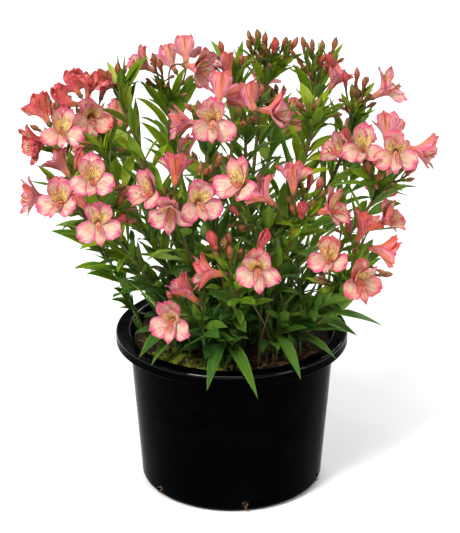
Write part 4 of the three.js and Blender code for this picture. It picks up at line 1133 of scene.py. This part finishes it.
def picture_bloom(head, row, shift):
    u, v, nearer, turn, face, opened, size = row
    axis = facing(turn, face)
    middle = from_picture(u, v, head["tip"][2] - nearer - shift)
    return {"base": middle - axis * MIDDLE * size, "axis": axis, "open": opened, "size": size}


def far_bloom(joint, index, count, shift):
    outward = unit(vec(joint[0], joint[1], FAR_LIFT))
    level = unit(vec(-outward[1], outward[0], 0))
    axis = unit(outward + turned(level, outward, 360 / count * index + FAR_TURN) * FAR_LEAN)
    base = joint + axis * (FAR_REACH - MIDDLE + shift * 0.4)
    return {"base": base, "axis": axis, "open": 0.95 - 0.25 * (index % 2), "size": 1}


def bloom_gap(node_name, bloom):
    """How far the ends of the inner tepals are from the solid, the middle one of three."""
    out, on, _ = arc_place(INNER, bloom["open"], 1.0)
    right, up = bloom_frame(bloom)
    ends = [leaning(right, up, turn) * out + bloom["axis"] * on for turn in (150, 270, 30)]
    return sorted(gap(node_name, bloom["base"] + end * bloom["size"]) for end in ends)[1]


def picture_bud(head, joint, row, shift):
    u, v, nearer, length = row
    middle = from_picture(u, v, head["tip"][2] - nearer - shift)
    axis = unit(unit(middle - joint) + UP * 0.5)
    return {"base": middle - axis * length / 2, "axis": axis, "length": length}


def far_bud(joint, index):
    level = turned(RIGHT, UP, FAR_BUD["turn"] + FAR_BUD["apart"] * index)
    axis = leaning(UP, level, FAR_BUD["lean"])
    return {"base": joint + axis * FAR_BUD["reach"], "axis": axis, "length": FAR_BUD["length"]}


def bud_gap(node_name, thing):
    return gap(node_name, thing["base"] + thing["axis"] * thing["length"])


feet = []


def foot_for(tip):
    """A foot below a head, moved outward in a spiral until it keeps clear of the others."""
    first = tip[0] * FOOT_SPREAD, tip[1] * FOOT_SPREAD + FOOT_BACK
    x, y = first
    i = 0
    while any(math.hypot(f[0] - x, f[1] - y) < FOOT_SPACING for f in feet):
        aside = round_place(FOOT_RING + FOOT_STEP * i, i * GOLDEN_TURN)
        x, y = first[0] + aside[0], first[1] + aside[1]
        i += 1
    far = max(1, math.hypot(x, y) / FOOT_LIMIT)
    feet.append((x / far, y / far))
    return in_soil(*feet[-1], ROOTED)


def stem_curve(foot, end, way, attempt):
    rise = end[2] - foot[2]
    ring = math.ceil(attempt / BEND_DIRECTIONS / len(BEND_LOWER_SHARES))
    off = vec(*round_place(1, math.tau * attempt / BEND_DIRECTIONS), 0) * BEND_STEP * ring
    lower = BEND_LOWER_SHARES[attempt // BEND_DIRECTIONS % len(BEND_LOWER_SHARES)]
    first = foot + UP * STEM_HANDLES[0] * rise + off * lower
    return foot, first, end - way * STEM_HANDLES[1] * rise + off, end


def stem_gap(node_name, curve, steps):
    """How far the middles of a stem's stretches are from its skin, which is small inside it."""
    joints = spaced(curve, steps)
    return sum(gap(node_name, middle) for middle in (joints[1:] + joints[:-1]) / 2)


def stem_place(joints, place):
    stretch = min(len(joints) - 2, int(place * (len(joints) - 1)))
    share = place * (len(joints) - 1) - stretch
    start, end = joints[stretch], joints[stretch + 1]
    return start + (end - start) * share, unit(end - start)


def springing_leaf(joints, spring, turn):
    root, stemward = stem_place(joints, spring["place"])
    side = unit(np.cross(stemward, RIGHT))
    outward = turned(side, stemward, math.degrees(spring["angle"]) + turn)
    way, length = leaning(stemward, outward, spring["spread"]), spring["length"]
    tip = root + way * length * 0.86 - UP * spring["droop"] * length
    upper = turned(stemward, way, spring["roll"])
    return {"root": root, "bend": root + way * length * 0.5, "tip": tip, "upper": upper,
            "width": spring["width"]}


def aimed_leaf(joints, row, nearer):
    place, u, v, y, width = row
    root, stemward = stem_place(joints, place)
    tip = from_picture(u, v, y - nearer)
    bend = root + (tip - root) * 0.45 + UP * LEAF_ARCH * np.linalg.norm(tip - root)
    return {"root": root, "bend": bend, "tip": tip, "upper": UP + stemward * 0.5, "width": width}


def drawn_spring(draw, place, angle, ranges, droop, roll, share=1):
    """The numbers that set one leaf, drawn in a fixed order."""
    spring = {"place": place, "angle": angle}
    for key in ("spread", "length", "width"):
        spring[key] = draw(*ranges[key]) * share
    spring["droop"] = draw(*droop)
    spring["roll"] = draw(*roll)
    return spring


def found_leaves(plant, index):
    """The leaves of a stem's solid that are found again, each by its tip."""
    node_name, joints, found = plant["node"], plant["joints"], []

    def keep_nearest(tries, **more):
        made = min(tries, key=lambda x: gap(node_name, x["tip"]))
        if gap(node_name, made["tip"]) < MATCHED:
            found.append({**made, **more})

    for row in plant["head"].get("leaves", []):
        keep_nearest([aimed_leaf(joints, row, x) for x in NEARER_TRIES], fullness=AIMED_FULLNESS)
    draw = draws_from(SEEDS["leaves"] + index)
    count = STEM_LEAVES if plant["flowers"] else SHOOT_LEAVES
    lowest = LOWEST_LEAF["stem" if plant["flowers"] else "shoot"]
    first_turn = draw(0, math.tau)
    for i in range(count + (BRACTS if plant["flowers"] else 0)):
        is_bract = i >= count
        if is_bract:
            place = BRACT_PLACE - BRACT_STEP * (i - count)
        else:
            place = lowest + (HIGHEST_LEAF - lowest) * ((i + draw(0.1, 0.9)) / count)
        angle = first_turn + GOLDEN_TURN * i + draw(-0.3, 0.3)
        ranges = BRACT_RANGE if is_bract else LEAF_RANGE
        spring = drawn_spring(draw, place, angle, ranges, DROOP_RANGE, ROLL_RANGE)
        keep_nearest([springing_leaf(joints, spring, x) for x in TURN_TRIES], bract=is_bract)
    return found


plants = [{"head": head, "joint": from_picture(*head["tip"])} for head in HEADS]
plants += [{"far": far["blooms"], "head": {}, "joint": vec(*far["at"])} for far in FAR_HEADS]
plants += [{"head": shoot, "joint": from_picture(*shoot["tip"])} for shoot in SHOOTS]
HEAD_COUNT = len(HEADS) + len(FAR_HEADS)
for index, plant in enumerate(plants):
    joint, head, flowers = plant["joint"], plant["head"], index < HEAD_COUNT
    number = index + 1 if flowers else index + 1 - HEAD_COUNT
    node_name = f"{'stem' if flowers else 'shoot'}_{number:02d}"
    way = stem_way(joint)
    foot, end = foot_for(joint), joint - way * JOINT_GAP
    steps = STEM_STEPS if flowers else SHOOT_STEPS
    bends = [stem_curve(foot, end, way, attempt) for attempt in range(BEND_TRIES)]
    curve = min(bends, key=lambda x: stem_gap(node_name, x, steps))
    plant.update(flowers=flowers, number=number, node=node_name, way=way, blooms=[], buds=[])
    plant.update(joints=spaced(curve, steps), line=spaced(curve, LINE_STEPS))
    if not flowers:
        continue
    umbel = f"umbel_{number:02d}"
    if "far" in plant:
        count = plant["far"]
        bloom_tries = [[far_bloom(joint, i, count, x) for x in NEARER_TRIES] for i in range(count)]
        plant["buds"] = [far_bud(joint, i) for i in (0, 1)]
    else:
        bloom_tries = [[picture_bloom(head, row, x) for x in NEARER_TRIES] for row in head.get("blooms", [])]
        bud_tries = [[picture_bud(head, joint, row, x) for x in NEARER_TRIES] for row in head["buds"]]
        plant["buds"] = [min(tries, key=lambda x: bud_gap(umbel, x)) for tries in bud_tries]
    plant["blooms"] = [min(tries, key=lambda x: bloom_gap(umbel, x)) for tries in bloom_tries]

BLOOM_CENTRES = np.array([bloom["base"] + bloom["axis"] * (MIDDLE + 6) * bloom["size"]
                          for plant in plants for bloom in plant["blooms"]])
NEAR_BLOOMS = sum(len(plant["blooms"]) for plant in plants if "far" not in plant)
BLOOM_PLACES = on_picture(BLOOM_CENTRES[:NEAR_BLOOMS])
BOX_LOW = np.array(CAD_BOX[0]) / MM - PAST_BOX
BOX_HIGH = np.array(CAD_BOX[1]) / MM + PAST_BOX


# More leaves, where the solids leave room

def out_of_box(points):
    return (points < BOX_LOW).any() or (points > BOX_HIGH).any()


def hides_bloom(points):
    """True where a point is in a bloom or before one that the viewer sees."""
    near = np.linalg.norm(points[:, None] - BLOOM_CENTRES, axis=2) < BLOOM_ROOM
    seen = on_picture(points)[:, None]
    apart = np.hypot(*(seen[..., :2] - BLOOM_PLACES[:, :2]).transpose(2, 0, 1))
    before = (apart < BLOOM_SHOWS) & (seen[..., 2] < BLOOM_PLACES[:, 2])
    return near.any() or before.any()


def shows_clear(point):
    """True where a small thing is in the box and neither in nor before a bloom."""
    return not (hides_bloom(point[None]) or out_of_box(point[None]))


def is_free(made):
    """True where a leaf keeps out of the blooms and the pot, in the box, and hides no bloom."""
    t = np.array([0.25, 0.4, 0.55, 0.7, 0.85, 1.0])[:, None]
    points = (1 - t) ** 2 * made["root"] + 2 * t * (1 - t) * made["bend"] + t * t * made["tip"]
    around, height = np.hypot(points[:, 0], points[:, 1]), points[:, 2]
    in_pot = (height < SOIL_TOP + OVER_SOIL) | ((height < POT_HEIGHT + OVER_POT) & (around > WELL_INSIDE))
    too_wide = around > outline_reach(height)
    return not (out_of_box(points) or too_wide.any() or in_pot.any() or hides_bloom(points))


def more_leaves(joints, draw, count, lowest, highest, ranges, droop=(0.0, 0.3)):
    """Leaves round a stem, steeper and smaller low on it."""
    first_turn = draw(0, math.tau)
    found = []
    for i in range(count):
        place = lowest + (highest - lowest) * (i + draw(0.05, 0.95)) / count
        angle = first_turn + GOLDEN_TURN * i + draw(-0.4, 0.4)
        share = 0.66 + 0.34 * smooth(place, 0.25, 0.7)
        spring = drawn_spring(draw, place, angle, ranges, droop, (-40, 40), share)
        tries = (springing_leaf(joints, spring, turn) for turn in TURN_TRIES)
        made = next(filter(is_free, tries), None)
        if made:
            found.append(made)
    return found


def add_aimed(skin, line, rows, draw, youth):
    """Leaves that only the looks have, turned toward the viewer."""
    for row in rows:
        made = {**aimed_leaf(line, row, 0), "upper": UP * 0.6 + TOWARD_VIEWER, "fullness": AIMED_FULLNESS}
        add_leaf(skin, made, draw, youth, ON_LEAF)


def on_line(made, line):
    """A leaf of the solids with its root moved on to the finer stem."""
    shift = line[np.argmin(np.linalg.norm(line - made["root"], axis=1))] - made["root"]
    return {**made, "root": made["root"] + shift, "bend": made["bend"] + shift * 0.5}


def make_stem(plant, index):
    skin = Skin()
    draw = draws_from(SEEDS["stem"] + index)
    line, youth = plant["line"], plant["head"].get("youth", 0)
    radii = np.interp(np.linspace(0, 1, len(line)), [0, 0.5, 1], STEM_RADII)
    redness = np.interp(index * GOLDEN_TURN % 1, [0, 1], STEM_REDNESS)
    skin.tube(line, radii, 9, (redness, 0, 0, draw()), ON_STEM)
    for made in found_leaves(plant, index):
        head_ward = made.get("bract") or made["tip"][2] > plant["joint"][2] - 25
        add_leaf(skin, on_line(made, line), draw, youth if head_ward else youth * 0.45, ON_LEAF)
    airy = plant["node"] in AIRY_TOPS
    count = MORE_STEM_LEAVES if plant["flowers"] else MORE_SHOOT_LEAVES
    for made in more_leaves(line, draw, count, 0.16, AIRY_FROM if airy else 0.95, MORE_LEAF_RANGE):
        add_leaf(skin, made, draw, youth * 0.5 + 0.45 * smooth(made["root"][2], *YELLOWING), ON_LEAF)
    kinds = [(MORE_BRACTS, MORE_BRACT_RANGE), (SMALL_BRACTS, SMALL_BRACT_RANGE)] if plant["flowers"] else []
    if plant["flowers"] and (youth or not plant["blooms"]):
        kinds.append((YOUNG_BRACTS, YOUNG_BRACT_RANGE))
    for count, ranges in kinds:
        count = round(count * (AIRY_SHARE if airy else 1))
        for made in more_leaves(line, draw, count, 0.955, 0.998, ranges, (-0.2, 0.2)):
            add_leaf(skin, made, draw, min(1, youth + 0.25), ON_LEAF)
    add_aimed(skin, line, AIMED_LOOKS.get(plant["node"], []), draw, youth * 0.5 + 0.3)
    skin.piece(f"leafy_{plant['node']}", STEM_LOOKS, "foliage", plant["node"])


def make_umbel(plant, index):
    skin = Skin()
    draw = draws_from(SEEDS["umbel"] + index)
    joint, way = plant["joint"], plant["way"]
    knob = joint + way * np.array([-0.2, 1.0, 2.2, KNOB_LENGTH])[:, None]
    skin.tube(knob, np.array([1.7, 2.5, 2.4, 1.6]), 9, (1, 0, 0, draw()), AS_STEM)
    age = plant["head"].get("age", 0.3)
    for bloom in plant["blooms"]:
        add_bloom(skin, joint, way, bloom, age, draw)
    for thing in plant["buds"]:
        if thing["length"] > LONGEST_BUD:
            size = thing["length"] / SHUT_BLOOM_LENGTH
            add_bloom(skin, joint, way, {**thing, "size": size, "open": 0, "shut": True}, age + 0.35, draw)
            continue
        add_bud(skin, thing, draw)
        add_ray(skin, joint, way, thing, 1.2, draw)
        for places in SIDE_BUD_PLACES:
            add_side_bud(skin, joint, way, thing, draw, places)
    skin.piece(f"head_{plant['number']:02d}", HEAD_LOOKS, "petals", f"umbel_{plant['number']:02d}")


for index, plant in enumerate(plants):
    make_stem(plant, index)
    if plant["flowers"]:
        make_umbel(plant, index)


# Low leafy shoots among the stems, and one that leans out over the rim on the left

def make_low_shoots():
    skin = Skin()
    draw = draws_from(SEEDS["low_shoots"])
    for i in range(LOW_SHOOTS):
        radius = LOW_SHOOT_REACH * math.sqrt((i + 0.6) / LOW_SHOOTS)
        x, y = round_place(radius, i * GOLDEN_TURN + draw(-0.3, 0.3))
        foot = in_soil(x, y, SHALLOW)
        height = draw(*LOW_SHOOT_HEIGHTS) * (1 - 0.35 * radius / LOW_SHOOT_REACH)
        lean = vec(x, y, 0) * 0.004 * height / 10 + vec(draw(-9, 9), draw(-9, 9), 0)
        tip = foot + UP * height + lean
        line = spaced((foot, foot + UP * height * 0.4, tip - UP * height * 0.3 - lean * 0.2, tip), 12)
        skin.tube(line, np.linspace(1.9, 1.0, 13), 7, (draw(0.2, 1), 0, 0, draw()), ON_STEM)
        youth = 0.12 + 0.35 * draw() ** 2
        for made in more_leaves(line, draw, LOW_SHOOT_LEAVES, 0.25, 0.99, LOW_LEAF_RANGE, (-0.05, 0.35)):
            add_leaf(skin, made, draw, youth, ON_LEAF)
    skin.piece("low_shoots", STEM_LOOKS, "foliage")


def make_outer_shoot():
    skin = Skin()
    draw = draws_from(SEEDS["outer_shoot"])
    foot = in_soil(*OUTER_SHOOT["foot"], SHALLOW)
    tip = from_picture(*OUTER_SHOOT["tip"])
    way = tip - foot
    line = spaced((foot, foot + way * 0.33 + UP * 5, foot + way * 0.66 + UP * 4, tip), 16)
    skin.tube(line, np.linspace(2.3, 1.2, 17), 9, (0.6, 0, 0, draw()), ON_STEM)
    add_aimed(skin, line, OUTER_SHOOT["leaves"], draw, 0)
    for made in more_leaves(line, draw, LOW_SHOOT_LEAVES, 0.2, 0.99, LOW_LEAF_RANGE):
        add_leaf(skin, made, draw, 0, ON_LEAF)
    skin.piece("outer_shoot", STEM_LOOKS, "foliage")


make_low_shoots()
make_outer_shoot()


# Pot

def arc_points(middle_r, middle_z, radius, start, end, steps):
    places = [round_place(radius, a) for a in np.radians(np.linspace(start, end, steps))]
    return [(middle_r + r, middle_z + z) for r, z in places]


def pot_outline():
    """Radius and height, from the middle of the underside, up the outside and down the inside."""
    skirt = POT_HEIGHT - LIP_DROP
    under = POT_HEIGHT - LIP_SHEET
    ledge = skirt - 8
    slope = (WALL_TOP_RADIUS - BASE_RADIUS) / (skirt - CORNER_RADIUS)

    def wall_at(z):
        return BASE_RADIUS + slope * (z - CORNER_RADIUS)

    return [
        (BASE_RADIUS - CORNER_RADIUS - 6, 0),
        *arc_points(BASE_RADIUS - CORNER_RADIUS, CORNER_RADIUS, CORNER_RADIUS, -90, 0, 8),
        *[(wall_at(z), z) for z in np.linspace(20, ledge, 9)],
        (wall_at(ledge) + 0.9, ledge + 0.7),
        (WALL_TOP_RADIUS + 0.9, under - 0.8),
        (RIM_RADIUS - LIP_SHEET - 0.8, under - 0.5),
        (RIM_RADIUS - LIP_SHEET, under - 1.6),
        (RIM_RADIUS - LIP_SHEET, skirt + 0.3),
        (RIM_RADIUS - LIP_SHEET + 0.4, skirt),
        (RIM_RADIUS - 0.4, skirt),
        (RIM_RADIUS, skirt + 0.5),
        *arc_points(RIM_RADIUS - 2.6, POT_HEIGHT - 2.6, 2.6, 0, 90, 7),
        *arc_points(WALL_TOP_RADIUS + 1.5, POT_HEIGHT - 3, 3, 90, 165, 6),
        (WALL_TOP_RADIUS - WALL, under - WALL - 2),
        (BASE_RADIUS - WALL, CORNER_RADIUS),
        (BASE_RADIUS - CORNER_RADIUS, FLOOR),
    ]


def around_pot(count):
    return np.arange(count) * math.tau / count


def drain_turn(i):
    return math.radians(DRAIN_TURN - 90 + 360 / DRAIN_HOLES * i)


def make_pot():
    skin = Skin()
    rings = [[[*round_place(r, a), z] for a in around_pot(POT_SIDES)] for r, z in pot_outline()]
    skin.loft(np.array(rings), vec(0, 0, 0), vec(0, 0, FLOOR), (0, 0, 0, 0), 0)
    pot = skin.piece("nursery_pot", [PLASTIC], "pot_plastic", "pot", sharp=30)
    cutters = Skin()
    for i in range(DRAIN_HOLES):
        outward = unit(vec(*round_place(1, drain_turn(i)), -DRAIN_SLOPE))
        centre = vec(*round_place(BASE_RADIUS, drain_turn(i)), DRAIN_HEIGHT)
        line = centre + outward * np.array([-9, 0, 9])[:, None]
        cutters.tube(line, np.full(3, float(DRAIN_RADIUS)), 24, (0, 0, 0, 0), 0)
    cutter = cutters.piece("drain_cutter", [PLASTIC], "pot_plastic")
    cut = pot.modifiers.new("drain", "BOOLEAN")
    cut.operation = "DIFFERENCE"
    cut.solver = "EXACT"
    cut.object = cutter
    bpy.context.view_layer.update()
    finished = bpy.data.meshes.new_from_object(pot.evaluated_get(bpy.context.evaluated_depsgraph_get()))
    pot.modifiers.clear()
    pot.data = finished
    bpy.data.objects.remove(cutter)
    finished.materials.append(LIP)
    for face in finished.polygons:
        if face.center.z / MM > POT_HEIGHT - 3 and abs(face.normal.z) < 0.97:
            face.material_index = 1
    finished.shade_smooth()
    finished.set_sharp_from_angle(angle=math.radians(30))


make_pot()


# Soil and what lies on it

def rough(x, y):
    """Height of the crumbly surface of the peat."""
    coarse, clods, crumbs = [noise.noise(Vector((x * rate, y * rate, layer))) * height
                             for rate, layer, height in ROUGHNESS]
    return soil_height(x, y) + coarse + abs(clods) + crumbs


def make_soil():
    skin = Skin()
    edge = WALL_TOP_RADIUS - WALL - 1.9
    radii = edge * (1 - (np.arange(SOIL_RINGS) / SOIL_RINGS) ** 1.15)
    angles = around_pot(SOIL_SIDES)
    lower = ((BASE_RADIUS - CORNER_RADIUS - 1, FLOOR + FIT), (BASE_RADIUS - WALL - FIT - 0.4, 9))
    rings = [[[*round_place(radius, a), z] for a in angles] for radius, z in lower]
    for row, radius in enumerate(radii):
        places = [round_place(radius, a) for a in angles]
        rings.append([[x, y, rough(x, y) - (EDGE_SUNK if row == 0 else 0)] for x, y in places])
    skin.loft(np.array(rings), vec(0, 0, FLOOR + FIT), vec(0, 0, rough(0, 0)), (0, 0, 0, 0), 0)
    skin.piece("potting_soil", [PEAT], "soil", "soil")


make_soil()


def scattered(draw, reach):
    """A place drawn evenly over a round bed."""
    radius = reach * math.sqrt(draw())
    return round_place(radius, draw(0, math.tau))


def add_crumb(skin, draw):
    """A lump of three rings whose corners are pushed in and out."""
    x, y = scattered(draw, LITTER_REACH)
    size = draw(0.9, 1.4) + 2.2 * draw() ** 5
    centre = vec(x, y, rough(x, y) + size * 0.2)
    look = AS_CRUMB if draw() < 0.85 else AS_FIBRE
    turn = draw(0, 6.3)
    rings = []
    for height, radius in ((-0.55, 0.7), (0.05, 1.0), (0.55, 0.65)):
        ring = []
        for i in range(6):
            aside = round_place(size * radius * draw(0.7, 1.25), turn + i * math.pi / 3)
            ring.append(centre + vec(*aside, size * height * draw(0.7, 1.2)))
        rings.append(ring)
    skin.loft(np.array(rings), centre - UP * size * 0.7, centre + UP * size * 0.75, (0, 0, 0, draw()), look)


def add_fibre(skin, draw):
    x, y = scattered(draw, FIBRE_REACH)
    heading, length = draw(0, math.tau), draw(8, 30)
    points = []
    for share in np.arange(7) / 6 - 0.5:
        aside = round_place(length * share, heading + share * draw(-0.5, 0.5))
        px, py = x + aside[0], y + aside[1]
        far = max(1, math.hypot(px, py) / LITTER_REACH)
        px, py = px / far, py / far
        points.append([px, py, rough(px, py) + 0.8 + 3 * draw() * (0.25 - share * share)])
    skin.tube(np.array(points), np.full(7, draw(0.25, 0.6)), 5, (0, 0, 0, draw()), AS_FIBRE)


def add_dry_stem(skin, draw):
    foot = in_soil(*np.add(scattered(draw, DRY_STEM_REACH), DRY_STEM_MIDDLE), SHALLOW)
    height = draw(30, 95)
    lean = vec(draw(-0.5, 0.5), draw(-0.5, 0.4), 0) * height
    upright = UP * height
    line = spaced((foot, foot + upright * 0.4, foot + upright * 0.7 + lean * 0.5, foot + upright + lean), 10)
    skin.tube(line, np.linspace(draw(0.6, 1.2), 0.4, 11), 6, (0, 0, 0, draw()), AS_FIBRE)


def add_coir(skin, draw, turn):
    """A fibre that sticks out of a drain hole."""
    outward = vec(*round_place(1, turn + draw(-0.035, 0.035)), 0)
    start = outward * (BASE_RADIUS - 5) + UP * (DRAIN_HEIGHT + draw(-3.2, 2.6))
    end = start + outward * draw(4, 6.2)
    end = end + vec(draw(-3, 3), draw(-3, 3), draw(-4, 2))
    middle = (start + end) / 2 + vec(0, 0, draw(-1, 2))
    line = np.array([start, middle, end])
    skin.tube(line, np.full(3, draw(0.3, 0.7)), 5, (0, 0, 0, draw()), AS_FIBRE)


def make_litter():
    skin = Skin()
    draw = draws_from(SEEDS["litter"])
    for count, add in ((CRUMBS, add_crumb), (FIBRES, add_fibre), (DRY_STEMS, add_dry_stem)):
        for _ in range(count):
            add(skin, draw)
    for i in range(DRAIN_HOLES):
        for _ in range(COIR):
            add_coir(skin, draw, drain_turn(i))
    skin.piece("litter", [PEAT, FIBRE], "soil")


def make_moss():
    """Tufts of moss on the peat near the front left of the rim."""
    skin = Skin()
    draw = draws_from(SEEDS["moss"])
    for _ in range(MOSS_TUFTS):
        turn = math.radians(draw(*MOSS_TURNS))
        x, y = round_place(LITTER_REACH - MOSS_WIDTH * draw() ** 1.2, turn)
        if noise.noise(Vector((x * 0.07, y * 0.07, 0))) < -0.18:
            continue
        height = draw(1.6, 4.6)
        foot = vec(x, y, rough(x, y) - 0.5)
        tip = foot + vec(draw(-1.6, 1.6), draw(-1.6, 1.6), height)
        thick = draw(0.45, 0.8)
        line, radii = np.array([foot, foot * 0.4 + tip * 0.6, tip]), [thick, thick * 0.9, 0.12]
        skin.tube(line, radii, 4, (0, 0, 0, draw()), 0)
    skin.piece("moss", [MOSS], "foliage")


make_litter()
make_moss()


# Floor, light and camera

def stand(name, data, place, aim):
    """An object at a place, whose -Z looks at the aim."""
    thing = bpy.data.objects.new(name, data)
    thing.location = place
    thing.rotation_euler = (Vector(aim) - Vector(place)).to_track_quat("-Z", "Y").to_euler()
    bpy.context.scene.collection.objects.link(thing)
    return thing


def make_floor():
    mesh = bpy.data.meshes.new("floor")
    corners = [(-FLOOR_HALF, -FLOOR_HALF, 0), (FLOOR_HALF, -FLOOR_HALF, 0),
               (FLOOR_HALF, FLOOR_HALF, 0), (-FLOOR_HALF, FLOOR_HALF, 0)]
    mesh.from_pydata(corners, [], [(0, 1, 2, 3)])
    f = Finish("pale_floor", Roughness=0.7, Specular_IOR_Level=0.2)
    f.paint(f.mix(f.noise(6, 2), (240, 240, 240), (246, 246, 246)))
    mesh.materials.append(f.material)
    floor = bpy.data.objects.new("floor", mesh)
    bpy.context.scene.collection.objects.link(floor)


def make_lights():
    for name, place, aim, width, height, watts in LIGHTS:
        data = bpy.data.lights.new(name, "AREA")
        data.shape = "RECTANGLE"
        data.size = width
        data.size_y = height
        data.energy = watts
        stand(name, data, place, aim)


def make_camera():
    data = bpy.data.cameras.new("camera")
    data.sensor_width = SENSOR
    data.lens = SENSOR * VIEW["focal"] / PICTURE_HEIGHT
    data.clip_start = 0.1
    data.clip_end = 50
    aim = Vector((VIEW["x"], 0, VIEW["z"])) * MM
    place = aim + Vector(TOWARD_VIEWER) * VIEW["distance"] * MM
    bpy.context.scene.camera = stand("camera", data, place, aim)


make_floor()
make_lights()
make_camera()
scene = bpy.context.scene
scene.world = bpy.data.worlds.new("studio")
scene.world.use_nodes = True
background = scene.world.node_tree.nodes["Background"]
background.inputs["Color"].default_value = (1, 1, 1, 1)
background.inputs["Strength"].default_value = 0.35
scene.view_settings.view_transform = "Standard"
